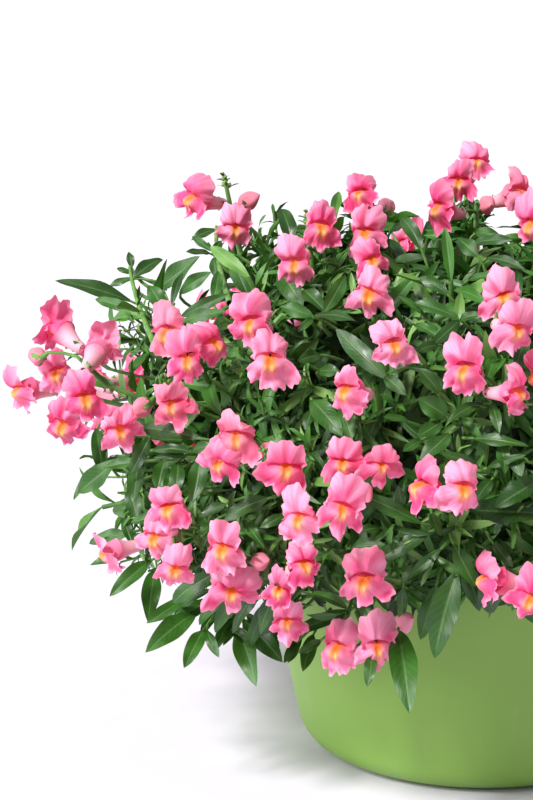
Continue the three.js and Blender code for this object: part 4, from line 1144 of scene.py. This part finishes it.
class Nodes:
    """Short ways to lay out one material's nodes."""

    def __init__(self, name):
        self.material = bpy.data.materials.new(name)
        self.material.use_nodes = True
        self.tree = self.material.node_tree
        self.tree.nodes.clear()

    def made(self, kind, inputs, output=0, **settings):
        """A new node with its inputs linked or set, and what it gives out."""
        node = self.tree.nodes.new(kind)
        for key, value in settings.items():
            setattr(node, key, value)
        for key, value in inputs.items():
            if isinstance(value, Value):
                self.tree.links.new(value.socket, node.inputs[key])
            else:
                node.inputs[key].default_value = value
        return Value(self, node.outputs[output]) if len(node.outputs) else None

    def attributes(self, *names):
        return [self.made("ShaderNodeAttribute", {}, "Fac", attribute_name=name)
                for name in names]

    def math(self, operation, a, b=0.0):
        return self.made("ShaderNodeMath", {0: a, 1: b}, operation=operation)

    def blend(self, share, a, b):
        a, b = (linear(c) if isinstance(c, str) else c for c in (a, b))
        return self.made("ShaderNodeMix", {0: share, 6: a, 7: b}, 2, data_type="RGBA",
                         blend_type="MIX")

    def noise(self, scale, detail, stretch=None, roughness=0.5):
        place = self.made("ShaderNodeTexCoord", {}, "Object")
        if stretch:
            place = self.made("ShaderNodeMapping", {"Vector": place, "Scale": stretch})
        return self.made("ShaderNodeTexNoise", {"Vector": place, "Scale": scale,
                                                "Detail": detail, "Roughness": roughness}, "Fac")

    def bump(self, height, strength, distance):
        return self.made("ShaderNodeBump", {"Strength": strength, "Distance": distance,
                                            "Height": height})

    def finish(self, colour, roughness, normal, through=None, share=0.0, **fixed):
        """The finished surface; a `share` of the light shines `through` a leaf or petal."""
        fixed = {key.replace("_", " "): value for key, value in fixed.items()}
        surface = self.made("ShaderNodeBsdfPrincipled",
                            {"Base Color": colour, "Roughness": roughness, "Normal": normal,
                             **fixed})
        if through is not None:
            glow = self.made("ShaderNodeBsdfTranslucent", {"Color": through})
            surface = self.made("ShaderNodeMixShader", {0: share, 1: surface, 2: glow})
        self.made("ShaderNodeOutputMaterial", {"Surface": surface})
        return self.material


def leaf_material():
    n = Nodes("leaf_green")
    along, across, hue, deep = n.attributes("along", "across", "hue", "deep")
    mottle = n.noise(90, 4)
    shade = hue * 0.75 + mottle * 0.45
    green = n.blend(shade.between(0.15, 0.62), "#1a420b", "#38731f")
    green = n.blend(shade.between(0.64, 1.08), green, "#7aa650")
    aside = n.math("ABSOLUTE", across)
    rib = aside.between(0.02, 0.16, 1, 0) * along.between(0.75, 1, 1, 0)
    green = n.blend(rib * 0.26, green, "#86ab6c")
    veins = n.math("SINE", along * 62 - aside * 13).between(0.6, 1)
    green = n.blend(veins * 0.05, green, "#9dbb80")
    # Painted shade: leaves set deep in the mound, with a high deep, are darkened towards near
    # black.
    green = n.blend(deep * 0.72, green, "#0b200b")
    relief = rib * -1.0 + veins * -0.15 + mottle * 0.5
    # Painted shade: the light through such deep leaves is darkened too.
    through = n.blend(deep * 0.8, "#5c8a2a", "#10290f")
    return n.finish(green, mottle.between(0.3, 0.7, 0.35, 0.5), n.bump(relief, 0.35, 0.0006),
                    through, 0.1, Specular_IOR_Level=0.5)


def petal_material():
    n = Nodes("petal_pink")
    hue, edge, faded, glowing, rise, pale, ray, bulge, folds = n.attributes(
        "hue", "edge", "faded", "warm", "rise", "pale", "ray", "bulge", "folds")
    cloud = n.noise(70, 3)
    fine = n.noise(480, 2)
    # Random tone, plus painted shade: the pink darkens along the folds.
    shade = hue * 0.5 + cloud * 0.7 - folds * 0.55
    pink = n.blend(shade.between(0.3, 0.9), "#ef4483", "#ff9cc2")
    # Lighter towards the rims: the petals' pale margins and a painted glow of light through the
    # thin edges.
    pink = n.blend(edge.between(0.35, 1) * 0.5, pink, "#ffbed8")
    veins = n.math("SINE", ray * 13 + cloud * 11).between(0.35, 1)
    warm = glowing - veins * 0.22
    pink = n.blend(veins * 0.12, pink, "#dc3374")
    pink = n.blend(pale * 0.75, pink, "#ffd3de")
    peach = n.blend(bulge.between(0.35, 1) * 0.35, pink, "#ffb9c4")
    glow = n.blend(rise.between(0.0, 0.5), "#ffc0a0", "#ffc67a")
    glow = n.blend(rise.between(0.4, 0.9), glow, "#fb7f1c")
    halo = n.blend(warm.between(0.04, 0.45), peach, "#ff9787")
    petal = n.blend(warm.between(0.3, 0.75), halo, glow)
    petal = n.blend(faded * 0.75, petal, "#e27d78")
    relief = veins * -0.16 + fine * 0.3 + cloud
    through = n.blend(warm.between(0.2, 0.7), "#ff5a96", "#ff9a42")
    return n.finish(petal, fine.between(0.3, 0.7, 0.5, 0.66), n.bump(relief, 0.4, 0.0011),
                    through, 0.24, Sheen_Weight=0.05, Specular_IOR_Level=0.3)


def stem_material():
    n = Nodes("stem_green")
    mottle = n.noise(140, 3)
    fine = n.noise(900, 2)
    green = n.blend(mottle.between(0.3, 0.7), "#4a7a35", "#6f9c4c")
    return n.finish(green, fine.between(0.3, 0.7, 0.45, 0.6), n.bump(fine, 0.3, 0.0004),
                    Specular_IOR_Level=0.45)


# Painted shade: a near-black green for the shell that stands in for the shaded inside of the
# mound.
def core_material():
    n = Nodes("inner_shade")
    mottle = n.noise(160, 4)
    green = n.blend(mottle.between(0.35, 0.7), "#0a1a0b", "#17331a")
    return n.finish(green, mottle.between(0.3, 0.7, 0.75, 0.9), n.bump(mottle, 0.8, 0.003))


def pot_material():
    n = Nodes("pot_green")
    cloud = n.noise(7, 2)
    fine = n.noise(1400, 3)
    scuff = n.noise(60, 5, stretch=(1, 1, 0.15))
    green = n.blend(cloud.between(0.3, 0.7), "#79a143", "#7ea747")
    green = n.blend(scuff.between(0.62, 0.8) * 0.18, green, "#a3c478")
    relief = fine * 0.6 + cloud * 0.4
    return n.finish(green, scuff.between(0.3, 0.8, 0.5, 0.42), n.bump(relief, 0.08, 0.0004),
                    Specular_IOR_Level=0.45)


def soil_material():
    n = Nodes("compost")
    crumbs = n.noise(260, 6, roughness=0.7)
    clods = n.noise(70, 4)
    brown = n.blend(crumbs.between(0.35, 0.7), "#1d130c", "#4a3423")
    brown = n.blend(clods.between(0.6, 0.8) * 0.4, brown, "#6b5238")
    relief = crumbs + clods
    return n.finish(brown, crumbs.between(0.3, 0.7, 0.85, 1.0), n.bump(relief, 0.9, 0.002))


def floor_material():
    n = Nodes("studio_floor")
    grain = n.noise(30, 2)
    white = n.blend(grain.between(0.3, 0.7), "#dad6e2", "#dcd8e4")
    return n.finish(white, grain.between(0.3, 0.7, 0.9, 0.95), n.bump(grain, 0.02, 0.001))


# ---------------- looks: pot and compost

def lathe(profile, sides):
    return np.array([[(r * math.cos(a), r * math.sin(a), z) for a in ring_of(sides)]
                     for r, z in profile])


def make_pot(material):
    """The pot with a rounded foot and a rounded lip, open at the top."""
    sides, steps, lean, lip = 128, 14, wall_lean(), POT.lip
    foot = [(POT.foot + POT.rounding * math.cos(a), POT.rounding * (1 + math.sin(a)))
            for a in np.linspace(-math.pi / 2, -lean, steps)]
    wall = [(wall_radius(z), z)
            for z in np.linspace(POT.rounding * 1.4, POT.height - lip, steps)]
    middle = wall_radius(POT.height) - lip
    rim = [(middle + lip * math.cos(a), POT.height - lip + lip * math.sin(a))
           for a in np.linspace(0.2, math.pi - 0.2, 9)]
    inner = wall_radius(POT.height, POT.floor)
    inside = [(inner - (POT.height - z) * math.tan(lean), z) for z in (146, 138, 128, 118)]
    builder = Builder()
    builder.add_rings(lathe([(30, 0), (60, 0)] + foot + wall + rim + inside, sides))
    builder.fan((0, 0, 0), np.arange(sides))
    pot = builder.piece("pot_shell", material, "pot")
    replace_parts(pot, "pot")


def make_soil(material):
    """The compost's crumbly top, level with the solid's and a little below the rim."""
    random = np.random.default_rng(SOIL.seed)
    radius = np.linspace(1, wall_radius(SOIL.top, POT.floor + SOIL.gap), SOIL.rows)[:, None]
    angle = ring_of(SOIL.rounds)
    height = SOIL.top - SOIL.lumps * random.random((SOIL.rows, SOIL.rounds)) ** 2
    points = np.stack([radius * np.cos(angle), radius * np.sin(angle), height], -1)
    builder = Builder()
    builder.add_rings(np.concatenate([points, points[-1:] - np.array([0, 0, SOIL.skirt])]))
    soil = builder.piece("compost", material, "soil")
    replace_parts(soil, "soil")


# ---------------- looks: the extra growth

class BloomGuard:
    """Keeps leaves out of the blooms, and off them in the display view."""

    def __init__(self, racemes):
        blooms = [bloom for raceme in racemes for bloom in raceme.blooms]
        balls = [ball for bloom in blooms for ball in bloom.balls]
        self.at = np.array([at for at, _ in balls])
        self.radius = np.array([radius for _, radius in balls])
        self.shown = np.array([(*displayed(bloom.face), 1) for bloom in blooms])

    def show(self, leaves):
        """Keeps later leaves from hiding these."""
        rows = [(*displayed(rib_at(leaf, share)), GUARD.leaf * leaf.width)
                for leaf in leaves for share in (0.25, 0.5, 0.75)]
        self.shown = np.concatenate([self.shown, rows])

    def touches(self, points):
        away = ((self.at[None] - points[:, None]) ** 2).sum(2)
        return bool((away < (GUARD.share * self.radius[None]) ** 2).any())

    def allows(self, points, hides):
        """points: some along one leaf. hides: how far from a bloom's middle it may come."""
        if self.touches(points):
            return False
        seen = np.array([displayed(p) for p in points])
        across, rise = seen[:, 0], seen[:, 1]
        if any(((across > left) & (across < right) & (rise > low) & (rise < high)).any()
               for left, right, low, high in BARE):
            return False
        shown = self.shown[None]
        near = ((shown[..., :2] - seen[:, None, :2]) ** 2).sum(2) < (hides * shown[..., 3]) ** 2
        before = seen[:, None, 2] < shown[..., 2] - GUARD.before
        return not (near & before).any()


def clear_of_pot(points):
    return not any(meets_pot(p, POT_ROOM) for p in points)


def within_box(points):
    low, high = np.array(cad_box) / MM
    return bool(((points > low - BOX_ROOM) & (points < high + BOX_ROOM)).all())


def leaf_samples(leaf):
    return np.array([rib_at(leaf, share) for share in (0.3, 0.55, 0.8, 1)])


def settled(leaf, guard, hides):
    samples = leaf_samples(leaf)
    return clear_of_pot(samples) and within_box(samples) and guard.allows(samples, hides)


def plan_long_leaves(guard):
    """The leaves of LONG_LEAVES, brought nearer the viewer until they clear blooms and pot."""
    leaves = []
    for i, (across, rise, tip_across, tip_rise, width) in enumerate(LONG_LEAVES):
        random = draws(LONG.seed + i)
        most = LONG.steep * math.hypot(tip_across - across, tip_rise - rise)
        start = sight_distance(across, rise, LONG.foot)
        end = clamp(sight_distance(tip_across, tip_rise, LONG.tip), start - most, start + most)
        curl = mix(0.3, 0.9, random())
        lean = moved(BACK, UP, mix(0.3, 1, random()) * LONG.lift)
        for nearer in range(0, LONG.most, LONG.step):
            foot = sighted(across, rise, start - nearer)
            chord = moved(sighted(tip_across, tip_rise, end - nearer), foot, -1)
            way = unit(chord)
            face = squared(lean, way)
            leaf = Named(
                root=foot, width=width * LONG.wider, curl=curl, plant=plant_of(foot),
                along=sum_of(way, math.cos(curl / 2), face, math.sin(curl / 2)),
                over=sum_of(face, math.cos(curl / 2), way, -math.sin(curl / 2)),
                length=math.sqrt(dot(chord, chord)) * curl / 2 / math.sin(curl / 2))
            samples = leaf_samples(leaf)
            if clear_of_pot(samples) and not guard.touches(samples):
                break
        # Painted shade darkens each long leaf at random, up to LONG.deep.
        leaf = dressed(leaf, random, LONG.deep * random(), "fine")
        leaf.fold *= LONG.flat
        leaf.twist *= LONG.flat
        leaf.hue *= LONG.dark
        leaves.append(leaf)
    return leaves


def stalk_under(leaf):
    """A short stalk from the mound's inside to a leaf's foot."""
    root, along = leaf.root, leaf.along
    inward = unit(moved(HUB, root, -1))
    start = moved(root, inward, LONG.stalk, along, -0.5 * LONG.stalk)
    return curve([start, moved(start, inward, -4), moved(root, along, -0.4 * LONG.stalk),
                  moved(root, along, 1)], 5)


def sprig_path(points):
    return curve([sighted(*point, sight_distance(*point, LONG.foot)) for point in points], 9)


def plan_more_shoots(guard):
    """Leafy shoots all over the mound: (path, plant) of each, and their leaves."""
    rule, paths, leaves = MORE_SHOOTS, [], []
    for direction, random in scattered(rule):
        tip = on_mound(strayed(direction, rule.stray, random), mix(*rule.reach, random()))
        along = strayed(growth(tip), rule.lean, random)
        if meets_pot(tip, POT_ROOM):
            continue
        x, y, z = towards_hub(tip, rule.inner)
        inner = (x, y, max(z, HEART.lowest_root))
        path = curve([inner, moved(inner, outward(tip), 0.3 * rule.stretch),
                      moved(tip, along, -0.35 * rule.stretch), tip], 7)
        plant = plant_of(tip)
        own = []
        turn = 2 * math.pi * random()
        for k in range(rule.leaves):
            share = k / (rule.leaves - 1)
            turn += GOLDEN_ANGLE
            place = place_on(path, mix(rule.start, 1.0, share))
            length = mix(*rule.long, share ** 1.2) * mix(0.6, 1.2, random())
            leaf = leaf_on(place, turn, mix(*rule.open, share ** 2) + mix(-0.2, 0.3, random()),
                           length, length * mix(0.15, 0.24, random()), mix(0.4, 1.8, random()))
            leaf.plant = plant
            if settled(leaf, guard, rule.hides if random() < rule.shy else rule.near):
                # Painted shade darkens a shoot's lower, inner leaves, at random.
                own.append(dressed(leaf, random, clamp(1.6 - 2.2 * share, 0, 0.8) * random()))
        if len(own) >= rule.fewest:
            paths.append((path, plant))
            leaves += own
    return paths, leaves


def plan_inner_leaves(guard):
    """Leaves between the core and the mound's skin, which close the gaps; their darkness is
    painted shade, deeper the further in they lie.
    """
    leaves = []
    low, high = INNER.reach
    for direction, random in scattered(INNER):
        root = on_mound(direction, mix(low, high, random()))
        if root[2] < POT.height + INNER.above:
            continue
        along = strayed(growth(root), INNER.lean, random)
        length = mix(*INNER.long, random())
        leaf = leaf_on((root, along), mix(0, 6.28, random()), mix(0.1, 0.9, random()), length,
                       length * mix(0.22, 0.3, random()), mix(0.3, 1.2, random()))
        leaf.plant = plant_of(root)
        if settled(leaf, guard, INNER.hides):
            # Painted shade: the deeper the root lies in the mound, the darker the leaf.
            deep = mix(1.0, 0.45, (swell(root) - low) / (high - low))
            leaves.append(dressed(leaf, random, deep, "small"))
    return leaves


def make_core(material):
    """The dense middle that the stems grow out of, under all the leaves; its very dark green is
    painted shade.
    """
    random = np.random.default_rng(CORE.seed)
    floor = [(radius, CORE.under) for radius in (2, CORE.skirt * 0.6, CORE.skirt - 2)]
    rings = []
    for row in range(CORE.rows):
        above = mix(*CORE.span, row / (CORE.rows - 1))
        ring = []
        for k in range(CORE.rounds):
            a = 2 * math.pi * k / CORE.rounds
            way = (math.cos(a) * math.cos(above), math.sin(a) * math.cos(above),
                   math.sin(above))
            p = moved(HUB, way, CORE.scale / swell(moved(HUB, way, 1)))
            ring.append(moved(p, way, CORE.lumps * (random.random() - 0.5)))
        rings.append(ring)
    builder = Builder()
    builder.add_rings(np.concatenate([lathe(floor, CORE.rounds), rings]))
    builder.piece("inner_growth_painted_shade", material, "foliage")


# ---------------- build everything

def make_plant(plant, leaves, tubes, leaf_look, stem_look):
    """leaves and tubes: all of the mound's, of which the plant takes its own."""
    node = f"plant_{plant + 1}"
    blades, stalks = Builder(), Builder()
    add_leaf_blades(blades, [leaf for leaf in leaves if leaf.plant == plant])
    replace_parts(blades.piece(f"{node}_leaves", leaf_look, "foliage"), node)

    foot, crown = (moved((0, 0, z), plant_direction(plant), PLANT.ring)
                   for z in (SOIL.top - PLANT.depth, PLANT.crown))
    trunk = curve([foot, moved(foot, UP, 10), moved(crown, UP, -10), crown], 6)
    add_tube(stalks, trunk, *TRUNK)
    for path, owner, size in tubes:
        if owner == plant:
            add_tube(stalks, path, *size)
    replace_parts(stalks.piece(f"{node}_stems", stem_look, "foliage"), node)


def stem_curve(path):
    """The arc through a stem's three points."""
    a, b, c = path
    bend = moved(b, moved(b, moved(a, c, 1), -0.5), 1)
    return [sum_of(a, (1 - t) ** 2, bend, 2 * t * (1 - t), c, t * t)
            for t in np.linspace(0, 1, 9)]


def make_raceme(i, raceme, guard, petal_look, leaf_look):
    random = draws(RACEME_SEED + i)
    name = f"raceme_{i + 1:02d}"
    petals, green = Builder(), Builder()
    for bloom in raceme.blooms:
        faded = 0.4 * random() if random() < 0.08 else 0.05 * random()
        add_bloom(petals, green, bloom, random, faded)
    for bud in raceme.buds:
        add_bud(petals, green, bud, random)
    add_stalk(green, raceme, random, guard)
    pieces = [petals.piece(f"{name}_petals", petal_look, "blooms"),
              green.piece(f"{name}_green", leaf_look, "foliage")]
    for piece in pieces:
        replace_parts(piece, name)


def make_part():
    racemes = plan_racemes()
    stems, cad_leaves = plan_stems(racemes)
    guard = BloomGuard(racemes)
    long_leaves = plan_long_leaves(guard)
    sprigs = [sprig_path(points) for points in SPRIGS]
    guard.show(long_leaves)
    shoot_paths, shoot_leaves = plan_more_shoots(guard)
    inner_leaves = plan_inner_leaves(guard)

    leaf_look, petal_look, stem_look = leaf_material(), petal_material(), stem_material()
    make_pot(pot_material())
    make_soil(soil_material())
    make_core(core_material())

    random = draws(LEAF_SEED)
    leaves = [dressed(leaf, random, 0.0, "fine") for leaf in cad_leaves]
    leaves += long_leaves + shoot_leaves + inner_leaves
    tubes = [(stem_curve(stem.path), stem.plant, STEM_TUBE) for stem in stems]
    tubes += [(path, plant, SHOOT) for path, plant in shoot_paths]
    tubes += [(stalk_under(leaf), leaf.plant, LEAF_STALK) for leaf in long_leaves]
    tubes += [(path, plant_of(path[0]), SPRIG) for path in sprigs]
    for plant in range(PLANT.count):
        make_plant(plant, leaves, tubes, leaf_look, stem_look)
    for i, raceme in enumerate(racemes):
        make_raceme(i, raceme, guard, petal_look, leaf_look)


# ---------------- studio

# Half the floor's side, in mm.
FLOOR_HALF = 30000
# Name, strength, size in degrees, colour, place, of each sun.
SUNS = [
    ("key", 4.0, 12, (1, 0.985, 0.97), (-1.68, -2.0, 3.1)),
    ("side", 2.1, 30, (1, 0.985, 0.98), (-2.8, -0.4, 1.1)),
]
SUN_TARGET = (0, 0, 0.15)
WORLD_STRENGTH = 0.42


def make_floor(material):
    builder = Builder()
    builder.add([(x * FLOOR_HALF, y * FLOOR_HALF, 0)
                 for x, y in ((-1, -1), (1, -1), (1, 1), (-1, 1))], [(0, 1, 2, 3)])
    builder.mesh("floor", material)


def aimed(ob, location, target):
    ob.location = location
    way = Vector(target) - ob.location
    ob.rotation_euler = way.to_track_quat("-Z", "Y").to_euler()
    return ob


def make_sun(name, strength, soft, colour, position):
    light = bpy.data.lights.new(name, "SUN")
    light.energy = strength
    light.angle = math.radians(soft)
    light.color = colour
    aimed(in_scene(name, light), position, SUN_TARGET)


def make_studio():
    make_floor(floor_material())
    world = bpy.data.worlds.new("studio")
    bpy.context.scene.world = world
    world.use_nodes = True
    background = world.node_tree.nodes["Background"]
    background.inputs["Color"].default_value = (1, 1, 1, 1)
    background.inputs["Strength"].default_value = WORLD_STRENGTH
    for sun in SUNS:
        make_sun(*sun)
    bpy.context.scene.view_settings.view_transform = "Standard"


def make_camera():
    data = bpy.data.cameras.new("camera")
    data.lens = 150
    data.sensor_width = 36
    data.sensor_fit = "AUTO"
    data.clip_end = 60
    bpy.context.scene.camera = aimed(in_scene("camera", data), [c * MM for c in EYE],
                                     [c * MM for c in TARGET])


make_part()
make_studio()
make_camera()
